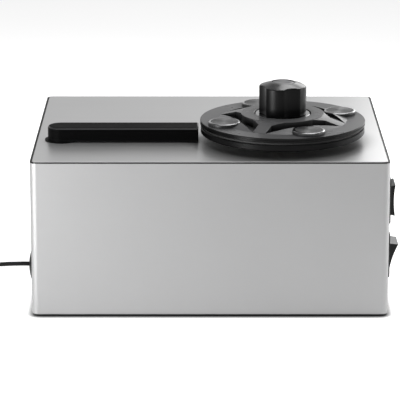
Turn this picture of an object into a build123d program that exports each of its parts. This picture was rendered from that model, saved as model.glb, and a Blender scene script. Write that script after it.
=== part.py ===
from build123d import *
import os
from math import acos, atan2, cos, hypot, pi, radians, sin, sqrt, tan

# Record cleaning machine: a sheet-aluminium case with a small turning platter under a heavy label
# clamp, a suction arm that lifts and swings, a waste tank, a blower and a geared platter motor.
# Millimetres, +X to the right, +Y to the back, +Z up. The origin is the middle of the whole
# machine's footprint, on the surface that it stands on.

# ---------------------------------------------------------------- driving dimensions
# Case
CASE_W = 244.0
CASE_D = 198.0
CASE_H = 107.0
CASE_R = 4.5            # outer radius of the four upright folds
SHEET = 1.5             # folded side sheet
STAND = 2.0             # floor to the lower edge of the side sheet
PLATE_T = 1.5           # top plate
PLATE_PROUD = 0.4       # top plate above the edge seal
SEAL_DROP = 1.6         # the edge seal covers the sheet's upper edge by this much
SEAL_LEDGE_W = 3.0
SEAL_LEDGE_T = 1.9
FIT = 0.05              # close fit between pieces that are pressed or screwed together
BASE_T = 2.0            # base plate inside the sheet
PLINTH_T = 1.2          # the base plate's lower step, below the sheet
PLINTH_INSET = 1.3
FOOT_R = 8.0
FOOT_T = 1.8
FOOT_INSET = 20.0
BLOCK = 12.0            # corner blocks that tie the side sheet to the base
BLOCK_H = 18.0
SCREW_R = 1.5           # M3 shank
SCREW_HEAD_R = 2.8
SCREW_HEAD_T = 1.6
SCREW_L = 8.0
STUD_L = 6.0            # studs welded under the top plate
NUT_R = 3.1
NUT_H = 2.4
HOLE_GAP = 0.3          # bearing and sleeve in the top plate's holes

# Platter, spindle and clamp, heights above the top plate's seal plane
SPINDLE_FROM_RIGHT = 71.1
AXES_FROM_FRONT = 62.5  # spindle and arm swivel stand in one line
PLATTER_R = 57.2
PLATTER_UNDER = 6.4
PLATTER_T = 4.1
PLATTER_SKIN = 2.0
PLATTER_WALL = 3.2
PLATTER_SEAT = 1.0      # the hub reaches this far below the disc
PLATTER_HUB_W = 4.0     # hub beyond the shaft's flange
PLATTER_BEVEL = 0.5
PLATTER_RIBS = 6
RIB_T = 2.0
MAT_T = 0.8
MAT_R = 55.8
MAT_SINK = 0.5
CLAMP_R = 57.6
CLAMP_GAP = 1.4         # between the mat and the clamp's rim, filled by the seal ring
CLAMP_RIM_T = 3.2
CLAMP_LINE_Z = 1.1      # groove round the clamp's rim, below its top
CLAMP_LINE_H = 0.6
CLAMP_LINE_D = 0.6
CLAMP_SEAL_R = 55.4
CLAMP_SEAL_W = 6.0
HUB_R = 29.0
HUB_H = 4.7             # hub above the clamp's rim
RAMP_R = 45.0           # where the spokes have run down to the rim
SPOKE_W = 9.5
SPOKES = 4
SPOKE_TURN = 67.0       # direction of the first spoke, from +X
POCKET_D = 0.9          # pocket floor below the rim at the hub
POCKET_REACH = 35.0     # straight outer edge of a pocket, from the axis
COUNTERBORE_R = 19.8
COUNTERBORE_D = 2.3
CLAMP_SKIN = 2.2
CLAMP_BOSS = 5.0        # material left round the pin
CLAMP_PIN_GAP = 0.15
WEIGHT_R = 11.2
WEIGHT_PCR = 44.0
WEIGHT_PROUD = 2.4
WEIGHT_SINK = 1.6
WEIGHT_BEVEL = 1.0
WASHER_R = 19.3
WASHER_T = 2.0
WASHER_BEVEL = 0.5
KNOB_R = 16.4
KNOB_FLUTES = 6
KNOB_FLUTE_R = 22.0     # radius of each finger flute
KNOB_WAIST_R = 14.9     # axis to the middle of each flute
KNOB_TURN = -10.0
KNOB_H = 22.2
KNOB_BEVEL = 2.6
INLAY_R = 7.7
INLAY_T = 1.2
INSERT_R = 6.0
INSERT_L = 9.0
THREAD_R = 3.0          # M6
THREAD_PITCH = 1.0
KNOB_TURNS = 5          # from seated to free of the spindle
RUN = 0.05              # radial running clearance
PIN_R = 3.55            # record spindle, just under the 7.24 mm hole of a record
SHAFT_R = 4.0
SHAFT_FLANGE_R = 10.0
SHAFT_FLANGE_T = 2.0
PIN_SLOPE = 0.6         # cone from the pin down to the thread
THREAD_TIP = 1.0
PIN_TOP = 17.0
BEARING_R = 8.0
BEARING_L = 15.0
BEARING_FLANGE_R = 17.0
BEARING_FLANGE_T = 3.0
BEARING_PCR = 13.0
BEARING_PROUD = 1.0     # above the top plate

# Platter drive
MODULE = 1.0
WHEEL_TEETH = 48
PINION_TEETH = 12
GEAR_T = 6.0
PINION_T = 8.0
BACKLASH = 0.12
PRESSURE = 20.0
GEAR_DROP = 16.6        # top of the driven gear below the seal plane
GEAR_HUB_R = 9.0
GEAR_HUB_T = 1.4
GEAR_HOLES = 6
BRACKET_DROP = 26.0     # underside of the drive bracket below the seal plane
BRACKET_T = 2.0
PILLAR_R = 3.0
PILLAR_X = 29.0
PILLAR_FRONT = 17.0
PILLAR_BACK = 52.0
BUSH_R = 6.0
BUSH_FLANGE_R = 8.5
BUSH_FLANGE_T = 1.2
BUSH_L = 9.0
CLIP_T = 1.0
MOTOR_R = 18.5
GEARBOX_L = 22.0
CAN_R = 16.5
CAN_L = 28.0
TAB_X = 8.0             # solder tabs of the motor
TAB_W = 3.0
TAB_T = 0.8
TAB_L = 5.0
MOTOR_BOSS_R = 6.0
MOTOR_SHAFT_R = 3.0

# Suction arm, heights above the seal plane
ARM_FROM_LEFT = 18.3    # swivel axis
ARM_W = 19.0
ARM_GAP = 1.2           # tip to the clamp's rim
ARM_TOP = 10.8
ARM_UNDER = 1.2
ARM_EDGE = 1.3          # rounded top edges
ARM_BASE_T = 1.4
ARM_WALL = 2.2
SLOT_W = 3.0
SLOT_START = 22.0
SLOT_END = 6.0          # slot to the arm's tip
FELT_PAST = 4.0         # felt beyond each end of the slot
FELT_OFF = 0.3
FELT_W = 4.5
FELT_T = 0.7
TUBE_R = 6.5
TUBE_WALL = 1.2
TUBE_DROP = 34.0
SLEEVE_R = 8.0
SLEEVE_DROP = 24.0
SOCKET_R = 10.0
SOCKET_DROP = 38.0
SOCKET_FLANGE_R = 17.0
SOCKET_FLANGE_T = 3.0
SOCKET_STUDS = (0.0, 105.0, 255.0)
COLLAR_R = 11.6
COLLAR_T = 0.7

# Rocker switches on the right wall
SWITCH_Y = 27.5         # from the case's front
SWITCH_UPPER_Z = 75.6   # from the sheet's lower edge
SWITCH_LOWER_Z = 37.1
BEZEL_W = 25.0
BEZEL_H = 31.8
BEZEL_T = 1.8
ROCKER_W = 19.0
ROCKER_HALF = 10.8      # pivot to each tip, along the wall
ROCKER_OUT = 10.6       # pivot to the tips, out of the wall
ROCKER_HOLLOW = 0.9     # depth of the finger hollow
PIVOT_DEPTH = 5.6       # pivot inside the wall's outer face
TILT = 17.0
ROCKER_GAP = 0.35
SWITCH_DEPTH = 19.0
SWITCH_WALL = 1.6
PIVOT_R = 1.6
TERMINALS = 3
TERMINAL_STEP = 8.0
TERMINAL_L = 7.0
TERMINAL_W = 4.8
TERMINAL_T = 0.8

# Power cord
GLAND_Y = 31.0
GLAND_Z = 26.3          # from the sheet's lower edge
GLAND_R = 10.8
GLAND_DOME = 3.5
GLAND_EDGE = 1.6
GLAND_BARREL_R = 7.0
GLAND_BARREL_L = 10.0
NUT_AF = 19.0
NUT_T = 4.0
CORD_R = 1.5
COIL_MEAN_R = 17.0
COIL_W = 9.6
COIL_H = 12.8
COIL_FROM_LEFT = 123.5   # coil's middle from the left wall
COIL_BEHIND = 31.8      # and behind the gland
PLUG_R = 5.0
PLUG_L = 26.0
PLUG_PIN_R = 2.75
PLUG_PIN_L = 9.5
PLUG_PIN_BORE = 1.05
RELIEF_L = 12.0
RELIEF_R = 2.2

# Waste tank
TANK_FROM_LEFT = 5.0
TANK_W = 79.0
TANK_FROM_FRONT = 46.0
TANK_GAP = 1.0          # to the fan housing behind it
TANK_RIM = 3.0          # height of the tank's thick upper edge
TANK_WALL = 2.0
TANK_R = 8.0
LID_T = 3.0
GASKET_T = 1.0
SPIGOT_R = 9.0
SPIGOT_BORE = 7.0
SPIGOT_L = 8.0
HOSE_WALL = 2.2
HOSE_GRIP = 9.0         # hose on the arm's socket
INLET_GAP = 8.0         # socket's end to the lid's spigot
OUTLET_INSET = 14.0     # second spigot, from the tank's right and back

# Blower
BLOWER_FROM_BACK = 45.0
BLOWER_R = 33.0
BLOWER_H = 24.0
BLOWER_WALL = 2.0
BLOWER_CAN_R = 23.0
BLOWER_CAN_RISE = 4.0   # can above the base plate
IMPELLER_R = 28.0
IMPELLER_H = 12.0
IMPELLER_BLADES = 9
IMPELLER_DISC_T = 1.5
IMPELLER_HUB_R = 5.0
IMPELLER_RISE = 2.0     # disc above the housing's floor
BLADE_T = 1.2
BLOWER_SHAFT_R = 2.5
BLOWER_SHAFT_L = 7.0
EYE_R = 7.0
EYE_L = 7.0
HOSE_UNDER = 7.7        # the blower hose's crest to the top plate
HOSE_BEND = 12.5
LEG_R = 4.0
LEGS = 3

# Rear wall
GRILLE_W = 62.0
GRILLE_H = 36.0
GRILLE_T = 2.4
GRILLE_BARS = 7
GRILLE_BAR_T = 1.2
GRILLE_BAR_W = 2.0
GRILLE_FRAME = 6.0
DRAIN_INSET = 19.0      # from the tank's left
DRAIN_Z = 12.0          # above the sheet's lower edge
DRAIN_R = 5.0
DRAIN_BORE = 3.2
DRAIN_FLANGE_R = 9.0
DRAIN_FLANGE_T = 1.6
DRAIN_OUT = 9.0
CAP_R = 7.0
CAP_T = 2.0
CAP_GAP = 0.4
CAP_GRIP = 5.0

# Control board
BOARD_FROM_RIGHT = 14.0
BOARD_FROM_BACK = 15.0
BOARD_W = 74.0
BOARD_D = 54.0
BOARD_T = 1.6
BOARD_RISE = 7.0
SPACER_R = 3.0
SPACER_INSET = 5.0
CAPACITOR = (18.0, 36.0, 8.0, 22.0)             # across, back, radius, height
RELAY = (36.0, 55.0, 28.0, 44.0, 16.0)          # two across, two back, height
TERMINAL_STRIP = (14.0, 60.0, 2.0, 12.0, 10.0)
HEAT_SINK = (64.0, 67.0, 16.0, 40.0, 25.0)

# ---------------------------------------------------------------- worked-out places
PLATTER_TOP = PLATTER_UNDER + PLATTER_T
MAT_TOP = PLATTER_TOP - MAT_SINK + MAT_T
CLAMP_UNDER = MAT_TOP + CLAMP_GAP
CLAMP_TOP = CLAMP_UNDER + CLAMP_RIM_T
HUB_TOP = CLAMP_TOP + HUB_H
CLAMP_FLOOR = HUB_TOP - COUNTERBORE_D
WASHER_TOP = CLAMP_FLOOR + WASHER_T
THREAD_TOP = WASHER_TOP + KNOB_TURNS * THREAD_PITCH
PIVOT_REACH = ROCKER_OUT * cos(radians(TILT)) + ROCKER_HALF * sin(radians(TILT))
RIGHT_REACH = PIVOT_REACH - PIVOT_DEPTH
REAR_REACH = DRAIN_OUT + CAP_T + CAP_GAP
CX = -(RIGHT_REACH - GLAND_DOME) / 2
FRONT = -(CASE_D + REAR_REACH) / 2
BACK = FRONT + CASE_D
LEFT = CX - CASE_W / 2
RIGHT = CX + CASE_W / 2
BOTTOM = STAND
TOP = STAND + CASE_H
CY = FRONT + CASE_D / 2
PLATE_UNDER = TOP + PLATE_PROUD - PLATE_T
FLOOR = BOTTOM + BASE_T         # upper face of the base plate
SX = RIGHT - SPINDLE_FROM_RIGHT
SY = FRONT + AXES_FROM_FRONT
AX = LEFT + ARM_FROM_LEFT
AY = SY
ARM_END = SX - CLAMP_R - ARM_GAP - AX           # swivel axis to the tip
SLOT_L = ARM_END - SLOT_START - SLOT_END
GEAR_CENTRES = MODULE * (WHEEL_TEETH + PINION_TEETH) / 2
MX = SX
MY = SY + GEAR_CENTRES
SWITCH_HEIGHTS = {"direction": BOTTOM + SWITCH_UPPER_Z, "vacuum": BOTTOM + SWITCH_LOWER_Z}
OPEN_HALF = hypot(ROCKER_OUT, ROCKER_HALF) * sin(radians(TILT) + atan2(ROCKER_HALF, ROCKER_OUT))
OPEN_HALF = OPEN_HALF + ROCKER_GAP
GY = FRONT + GLAND_Y
GZ = BOTTOM + GLAND_Z
WEIGHT_TOP = CLAMP_TOP + WEIGHT_PROUD
LID_TOP = TOP - SOCKET_DROP - INLET_GAP - SPIGOT_L
TANK_TOP = LID_TOP - LID_T - GASKET_T
TANK_LEFT = LEFT + TANK_FROM_LEFT
TANK_RIGHT = TANK_LEFT + TANK_W
BX = TANK_RIGHT
BY = BACK - BLOWER_FROM_BACK
TANK_FRONT = FRONT + TANK_FROM_FRONT
TANK_BACK = BY - BLOWER_R - TANK_GAP
OUTLET_X = TANK_RIGHT - OUTLET_INSET
OUTLET_Y = TANK_BACK - OUTLET_INSET
HOSE_CREST = PLATE_UNDER - SPIGOT_R - HOSE_WALL - HOSE_UNDER
BLOWER_HIGH = HOSE_CREST - HOSE_BEND - EYE_L - 0.5
BLOWER_LOW = BLOWER_HIGH - BLOWER_H
GRILLE_MID = BLOWER_LOW + BLOWER_H / 2
DX = TANK_LEFT + DRAIN_INSET
DZ = FLOOR + DRAIN_Z
BOARD_X1 = RIGHT - BOARD_FROM_RIGHT
BOARD_X0 = BOARD_X1 - BOARD_W
BOARD_Y1 = BACK - BOARD_FROM_BACK
BOARD_Y0 = BOARD_Y1 - BOARD_D


# ---------------------------------------------------------------- helpers
def post(radius, low, high, x=0.0, y=0.0):
    """Upright cylinder between two heights."""
    return Pos(x, y, low) * Cylinder(radius, high - low, align=(Align.CENTER, Align.CENTER, Align.MIN))


def tube(outer, inner, low, high, x=0.0, y=0.0):
    """Upright tube between two heights."""
    return post(outer, low, high, x, y) - post(inner, low - 1, high + 1, x, y)


def turned(points, x=0.0, y=0.0):
    """Solid of revolution from (radius, height) points about an upright axis."""
    face = make_face(Plane.XZ * Polyline(*points, close=True))
    return Pos(x, y, 0) * revolve(face, Axis.Z)


def block(x0, x1, y0, y1, z0, z1):
    """Box between six planes."""
    return Pos(x0, y0, z0) * Box(x1 - x0, y1 - y0, z1 - z0, align=(Align.MIN, Align.MIN, Align.MIN))


def case_slab(inset, low, high):
    """Slab with the case's rounded outline, moved in by an inset."""
    outline = RectangleRounded(CASE_W - 2 * inset, CASE_D - 2 * inset, max(CASE_R - inset, 0.4))
    return Pos(CX, CY, low) * extrude(outline, high - low)


def rod_x(radius, x0, x1, y, z):
    """Cylinder lying along X."""
    return Pos(x0, y, z) * Rot(0, 90, 0) * Cylinder(
        radius, x1 - x0, align=(Align.CENTER, Align.CENTER, Align.MIN)
    )


def rod_y(radius, y0, y1, x, z):
    """Cylinder lying along Y."""
    return Pos(x, y0, z) * Rot(-90, 0, 0) * Cylinder(
        radius, y1 - y0, align=(Align.CENTER, Align.CENTER, Align.MIN)
    )


def ring_places(count, radius, turn, x=0.0, y=0.0):
    """Places evenly spaced on a circle."""
    steps = [radians(turn + 360.0 * i / count) for i in range(count)]
    return [(x + radius * cos(a), y + radius * sin(a)) for a in steps]


def pan_screw(x, y, seat, length, up=True):
    """Pan-head screw with its head on a seat; its shank runs up, or down, from the seat."""
    way = 1 if up else -1
    shank = post(SCREW_R, min(seat, seat + way * length), max(seat, seat + way * length), x, y)
    head = post(SCREW_HEAD_R, min(seat, seat - way * SCREW_HEAD_T), max(seat, seat - way * SCREW_HEAD_T), x, y)
    return shank + head


def group(solids):
    """Several separate solids kept as one node."""
    return Compound(children=list(solids))


PARTS = {}


def keep(name, shape):
    """Stores a finished sub-part under its node's name."""
    PARTS[name] = shape


# ---------------------------------------------------------------- case
def case_wrap():
    """Four side walls folded from one sheet, open above and below."""
    top = TOP - SEAL_DROP
    shell = case_slab(0, BOTTOM, top) - case_slab(SHEET, BOTTOM - 1, top + 1)
    for height in SWITCH_HEIGHTS.values():
        half_w = switch_box_w() / 2 + FIT
        half_h = OPEN_HALF + SWITCH_WALL + FIT
        yc = FRONT + SWITCH_Y
        shell -= block(RIGHT - SHEET - 1, RIGHT + 1, yc - half_w, yc + half_w, height - half_h, height + half_h)
    shell -= rod_x(GLAND_BARREL_R + FIT, LEFT - 1, LEFT + SHEET + 1, GY, GZ)
    inner_w = GRILLE_W / 2 - GRILLE_FRAME
    inner_h = GRILLE_H / 2 - GRILLE_FRAME
    shell -= block(
        BX - inner_w, BX + inner_w, BACK - SHEET - 1, BACK + 1, GRILLE_MID - inner_h, GRILLE_MID + inner_h
    )
    for x, z in grille_screw_places():
        shell -= rod_y(SCREW_R + FIT, BACK - SHEET - 1, BACK + 1, x, z)
    shell -= rod_y(DRAIN_R + FIT, BACK - SHEET - 1, BACK + 1, DX, DZ)
    return shell


def edge_seal():
    """Black Z-shaped strip that caps the sheet's upper edge and carries the top plate."""
    cap = case_slab(0, TOP - SEAL_DROP, TOP) - case_slab(SHEET, TOP - SEAL_DROP - 1, TOP + 1)
    low = PLATE_UNDER - SEAL_LEDGE_T
    ledge = case_slab(SHEET, low, PLATE_UNDER) - case_slab(SHEET + SEAL_LEDGE_W, low - 1, TOP)
    return cap + ledge


def top_plate():
    """Top plate, with the spindle and arm holes and studs welded underneath."""
    plate = case_slab(SHEET + FIT, PLATE_UNDER, TOP + PLATE_PROUD)
    plate = chamfer(plate.faces().sort_by(Axis.Z)[-1].edges(), 0.2)
    plate -= post(BEARING_R + HOLE_GAP, PLATE_UNDER - 1, TOP + 2, SX, SY)
    plate -= post(SLEEVE_R + HOLE_GAP, PLATE_UNDER - 1, TOP + 2, AX, AY)
    for x, y in bearing_screw_places() + socket_screw_places():
        plate += post(SCREW_R, PLATE_UNDER - STUD_L, PLATE_UNDER + 0.2, x, y)
    return plate


def base_plate():
    """Black steel base: a plate inside the sheet with a plinth step below it."""
    base = case_slab(SHEET + FIT, BOTTOM, FLOOR) + case_slab(PLINTH_INSET, BOTTOM - PLINTH_T, BOTTOM)
    for x, y in foot_places():
        base -= post(FOOT_R + FIT, -1, FOOT_T, x, y)
    for x, y in block_places():
        base -= post(SCREW_R + FIT, 0, FLOOR + 1, x, y)
        base -= post(SCREW_HEAD_R + FIT, 0, BOTTOM - PLINTH_T + SCREW_HEAD_T, x, y)
    return base


def foot_places():
    """Middles of the four feet."""
    half_w = CASE_W / 2 - FOOT_INSET
    half_d = CASE_D / 2 - FOOT_INSET
    return [(CX + i * half_w, CY + j * half_d) for i in (-1, 1) for j in (-1, 1)]


def block_places():
    """Middles of the four corner blocks."""
    half_w = CASE_W / 2 - SHEET - FIT - BLOCK / 2
    half_d = CASE_D / 2 - SHEET - FIT - BLOCK / 2
    return [(CX + i * half_w, CY + j * half_d) for i in (-1, 1) for j in (-1, 1)]


def feet():
    """Four flat rubber feet, let into the base."""
    return group(post(FOOT_R, 0, FOOT_T, x, y) for x, y in foot_places())


def corner_blocks():
    """Four blocks in the case's corners that the base screws run into."""
    blocks = []
    for x, y in block_places():
        body = Pos(x, y, FLOOR) * extrude(RectangleRounded(BLOCK, BLOCK, CASE_R - SHEET), BLOCK_H)
        blocks.append(body - post(SCREW_R, FLOOR - 1, FLOOR + SCREW_L, x, y))
    return group(blocks)


def base_screws():
    """Four screws up through the base into the corner blocks."""
    seat = BOTTOM - PLINTH_T + SCREW_HEAD_T
    return [pan_screw(x, y, seat, SCREW_L) for x, y in block_places()]


# ---------------------------------------------------------------- rear wall
def grille_screw_places():
    """Corner screws of the rear grille, as (x, z)."""
    half_w = GRILLE_W / 2 - GRILLE_FRAME / 2
    half_h = GRILLE_H / 2 - GRILLE_FRAME / 2
    return [(BX + i * half_w, GRILLE_MID + j * half_h) for i in (-1, 1) for j in (-1, 1)]


def exhaust_grille():
    """Rear air grille: a frame with sloping louvre bars."""
    outline = RectangleRounded(GRILLE_W, GRILLE_H, 4.0)
    plane = Plane(origin=(BX, BACK, GRILLE_MID), x_dir=(-1, 0, 0), z_dir=(0, 1, 0))
    frame = extrude(plane * outline, GRILLE_T)
    frame = chamfer(frame.faces().sort_by(Axis.Y)[-1].edges(), 0.6)
    inner_w = GRILLE_W / 2 - GRILLE_FRAME
    inner_h = GRILLE_H / 2 - GRILLE_FRAME
    frame -= block(BX - inner_w, BX + inner_w, BACK - 1, BACK + 5, GRILLE_MID - inner_h, GRILLE_MID + inner_h)
    step = 2 * inner_h / (GRILLE_BARS + 1)
    for i in range(GRILLE_BARS):
        z = GRILLE_MID - inner_h + (i + 1) * step
        bar = Box(2 * inner_w + 0.4, GRILLE_BAR_W, GRILLE_BAR_T)
        frame += Pos(BX, BACK + GRILLE_T / 2, z) * Rot(-30, 0, 0) * bar
    for x, z in grille_screw_places():
        frame -= rod_y(SCREW_R + FIT, BACK - 1, BACK + 5, x, z)
    return frame


def grille_screws():
    """Four screws that hold the rear grille on the sheet."""
    screws = []
    for x, z in grille_screw_places():
        head = rod_y(SCREW_HEAD_R, BACK + GRILLE_T, BACK + GRILLE_T + SCREW_HEAD_T, x, z)
        screws.append(head + rod_y(SCREW_R, BACK - 4, BACK + GRILLE_T, x, z))
    return screws


def drain_spout():
    """Drain pipe from the tank out through the rear wall."""
    pipe = rod_y(DRAIN_R, TANK_BACK, BACK + DRAIN_OUT, DX, DZ)
    flange = rod_y(DRAIN_FLANGE_R, BACK, BACK + DRAIN_FLANGE_T, DX, DZ)
    return pipe + flange - rod_y(DRAIN_BORE, TANK_BACK - 1, BACK + DRAIN_OUT + 1, DX, DZ)


def drain_cap():
    """Push-on cap of the drain, with a finger rim."""
    mouth = BACK + DRAIN_OUT
    cup = rod_y(CAP_R, mouth - CAP_GRIP, BACK + REAR_REACH, DX, DZ)
    return cup - rod_y(DRAIN_R + RUN, mouth - CAP_GRIP - 1, mouth + CAP_GAP, DX, DZ)


# ---------------------------------------------------------------- platter and spindle
def bearing_screw_places():
    """Studs of the upper bearing flange."""
    return ring_places(3, BEARING_PCR, 30.0, SX, SY)


def spindle_bearing():
    """Flanged brass bearing under the top plate."""
    z0 = PLATE_UNDER
    body = post(BEARING_R, z0 - BEARING_L + BEARING_FLANGE_T, TOP + PLATE_PROUD + BEARING_PROUD, SX, SY)
    body += post(BEARING_FLANGE_R, z0 - BEARING_FLANGE_T, z0, SX, SY)
    body -= post(SHAFT_R + RUN, z0 - 50, TOP + 20, SX, SY)
    for x, y in bearing_screw_places():
        body -= post(SCREW_R + FIT, z0 - BEARING_FLANGE_T - 1, z0 + 1, x, y)
    return body


def bearing_nuts():
    """Nuts on the studs of the bearing and of the arm socket."""
    low = PLATE_UNDER - BEARING_FLANGE_T - NUT_H
    nuts = []
    for x, y in bearing_screw_places() + socket_screw_places():
        nut = Pos(x, y, low) * extrude(RegularPolygon(NUT_R, 6), NUT_H)
        nuts.append(nut - post(SCREW_R, low - 1, low + 3, x, y))
    return group(nuts)


def spindle():
    """Platter shaft: bearing shaft, platter flange, record pin and clamp thread."""
    flange_top = TOP + PLATTER_UNDER - PLATTER_SEAT
    flange_low = flange_top - SHAFT_FLANGE_T
    low = TOP - BRACKET_DROP - BUSH_L
    pin_top = TOP + PIN_TOP
    tip = TOP + THREAD_TOP
    return turned(
        [
            (0, low), (SHAFT_R, low), (SHAFT_R, flange_low), (SHAFT_FLANGE_R, flange_low),
            (SHAFT_FLANGE_R, flange_top), (PIN_R, flange_top), (PIN_R, pin_top),
            (THREAD_R, pin_top + PIN_SLOPE), (THREAD_R, tip - THREAD_TIP), (THREAD_R - THREAD_TIP, tip),
            (0, tip),
        ],
        SX, SY,
    )


def platter():
    """Platter: a ribbed disc with a bevelled lower edge and a recess for the mat."""
    low = TOP + PLATTER_UNDER
    top = TOP + PLATTER_TOP
    floor = top - MAT_SINK
    web = top - MAT_SINK - PLATTER_SKIN
    wall = PLATTER_R - PLATTER_WALL
    seat = low - PLATTER_SEAT
    hub = SHAFT_FLANGE_R + PLATTER_HUB_W
    disc = turned(
        [
            (PIN_R + FIT, seat), (hub, seat), (hub, web), (wall, web), (wall, low),
            (PLATTER_R - PLATTER_BEVEL, low), (PLATTER_R, low + PLATTER_BEVEL), (PLATTER_R, top - 0.3),
            (PLATTER_R - 0.3, top), (MAT_R + FIT, top), (MAT_R + FIT, floor), (PIN_R + FIT, floor),
        ],
        SX, SY,
    )
    for i in range(PLATTER_RIBS):
        rib = block(hub - 0.5, wall + 0.5, -RIB_T / 2, RIB_T / 2, low + 0.6, web + 0.5)
        disc += Pos(SX, SY, 0) * Rot(0, 0, 360.0 * i / PLATTER_RIBS) * rib
    for x, y in platter_screw_places():
        disc -= post(SCREW_R + FIT, seat - 1, floor + 1, x, y)
        disc -= post(SCREW_HEAD_R + FIT, floor - SCREW_HEAD_T - 0.2, floor + 1, x, y)
    return disc


def platter_screw_places():
    """Screws that hold the platter on the spindle's flange."""
    return ring_places(3, (PIN_R + SHAFT_FLANGE_R) / 2, 0.0, SX, SY)


def platter_screws():
    """Three screws under the mat, with their heads let into the platter."""
    seat = TOP + PLATTER_TOP - MAT_SINK - SCREW_HEAD_T - 0.2
    flange_top = TOP + PLATTER_UNDER - PLATTER_SEAT
    return group(pan_screw(x, y, seat, seat - flange_top, up=False) for x, y in platter_screw_places())


def platter_mat():
    """Rubber mat that the record's label lies on."""
    low = TOP + PLATTER_TOP - MAT_SINK
    high = TOP + MAT_TOP
    bore = PIN_R + 0.4
    edge = 0.3
    profile = [(bore, low), (MAT_R, low), (MAT_R, high - edge), (MAT_R - edge, high), (bore, high)]
    return turned(profile, SX, SY)


def involute_gear(teeth, thickness, low, x, y, turn, thin):
    """Spur gear with involute flanks, each tooth thinned by half the backlash."""
    pitch = MODULE * teeth / 2
    base = pitch * cos(radians(PRESSURE))
    tip = pitch + MODULE
    root = pitch - 1.25 * MODULE
    roll = tan(radians(PRESSURE)) - radians(PRESSURE)
    half = pi / (2 * teeth) - thin / (2 * pitch)
    start = max(base, root)

    def flank(radius):
        press = acos(min(1.0, base / radius))
        return half + roll - (tan(press) - press)

    radii = [start + (tip - start) * k / 3 for k in range(4)]
    points = []
    for i in range(teeth):
        mid = radians(turn) + 2 * pi * i / teeth
        edge = [(root, flank(start))] if root < start - 0.01 else []
        edge += [(r, flank(r)) for r in radii]
        points += [(r * cos(mid - a), r * sin(mid - a)) for r, a in edge]
        points += [(r * cos(mid + a), r * sin(mid + a)) for r, a in reversed(edge)]
    face = make_face(Polyline(*points, close=True))
    return Pos(x, y, low) * extrude(face, thickness)


def driven_gear():
    """Large gear on the spindle, with a hub and round lightening holes."""
    high = TOP - GEAR_DROP
    low = high - GEAR_T
    gear = involute_gear(WHEEL_TEETH, GEAR_T, low, SX, SY, 0.0, BACKLASH)
    hole = (MODULE * WHEEL_TEETH / 2 - GEAR_HUB_R) / 2
    for x, y in ring_places(GEAR_HOLES, GEAR_HUB_R + hole - 1.0, 30.0, SX, SY):
        gear -= post(hole - 2.6, low - 1, high + 1, x, y)
    gear += post(GEAR_HUB_R, low, high + GEAR_HUB_T, SX, SY)
    return gear - post(SHAFT_R, low - 1, high + GEAR_HUB_T + 1, SX, SY)


def motor_pinion():
    """Brass pinion on the gearbox shaft, with a hub above its teeth."""
    high = TOP - GEAR_DROP + 1.0
    low = high - PINION_T
    mesh = 180.0 / PINION_TEETH
    pinion = involute_gear(PINION_TEETH, PINION_T, low, MX, MY, -90.0 + mesh, BACKLASH)
    pinion += post(MODULE * PINION_TEETH / 2 - 1.3, high, high + 3.0, MX, MY)
    return pinion - post(MOTOR_SHAFT_R, low - 1, high + 4, MX, MY)


def motor_shaft():
    """Gearbox output shaft."""
    return post(MOTOR_SHAFT_R, TOP - BRACKET_DROP - 4.0, TOP - GEAR_DROP + 4.5, MX, MY)


def drive_motor():
    """Geared motor that hangs under the drive bracket."""
    face = TOP - BRACKET_DROP
    body = post(MOTOR_R, face - GEARBOX_L, face, MX, MY)
    can = post(CAN_R, face - GEARBOX_L - CAN_L, face - GEARBOX_L, MX, MY)
    can = chamfer(can.faces().sort_by(Axis.Z)[0].edges(), 1.5)
    boss = post(MOTOR_BOSS_R, face, face + BRACKET_T, MX, MY)
    body = body + can + boss
    end = face - GEARBOX_L - CAN_L
    for x in (MX - TAB_X, MX + TAB_X):
        body += block(x - TAB_W / 2, x + TAB_W / 2, MY - TAB_T / 2, MY + TAB_T / 2, end - TAB_L, end + 0.5)
    body -= post(MOTOR_SHAFT_R + RUN, face - 4.5, face + BRACKET_T + 1, MX, MY)
    return body


def bracket_outline():
    """Corners of the drive bracket."""
    return SX - PILLAR_X - 6, SX + PILLAR_X + 6, SY - PILLAR_FRONT - 6, SY + PILLAR_BACK + 6


def pillar_places():
    """Middles of the four pillars between the top plate and the bracket."""
    return [(SX + i * PILLAR_X, SY + y) for i in (-1, 1) for y in (-PILLAR_FRONT, PILLAR_BACK)]


def drive_bracket():
    """Steel plate that carries the motor and the spindle's lower bush."""
    x0, x1, y0, y1 = bracket_outline()
    low = TOP - BRACKET_DROP
    high = low + BRACKET_T
    outline = RectangleRounded(x1 - x0, y1 - y0, 6.0)
    plate = Pos((x0 + x1) / 2, (y0 + y1) / 2, low) * extrude(outline, BRACKET_T)
    plate -= post(BUSH_R + FIT, low - 1, high + 1, SX, SY)
    plate -= post(MOTOR_BOSS_R + FIT, low - 1, high + 1, MX, MY)
    for x, y in pillar_places():
        plate -= post(SCREW_R + FIT, low - 1, high + 1, x, y)
    for x, y in motor_screw_places():
        plate -= post(SCREW_R + FIT, low - 1, high + 1, x, y)
    return plate


def motor_screw_places():
    """Screws from the bracket down into the gearbox face."""
    return ring_places(2, MOTOR_R - 4.5, 0.0, MX, MY)


def motor_screws():
    """Two screws that hold the gearbox under the bracket."""
    seat = TOP - BRACKET_DROP + BRACKET_T
    return [pan_screw(x, y, seat, BRACKET_T, up=False) for x, y in motor_screw_places()]


def bracket_pillars():
    """Four pillars welded under the top plate, tapped for the bracket screws."""
    low = TOP - BRACKET_DROP + BRACKET_T
    pillars = []
    for x, y in pillar_places():
        pillars.append(post(PILLAR_R, low, PLATE_UNDER, x, y) - post(SCREW_R, low - 1, low + 5, x, y))
    return group(pillars)


def bracket_screws():
    """Four screws up through the bracket into the pillars."""
    low = TOP - BRACKET_DROP
    return [pan_screw(x, y, low, BRACKET_T + 5) for x, y in pillar_places()]


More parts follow.
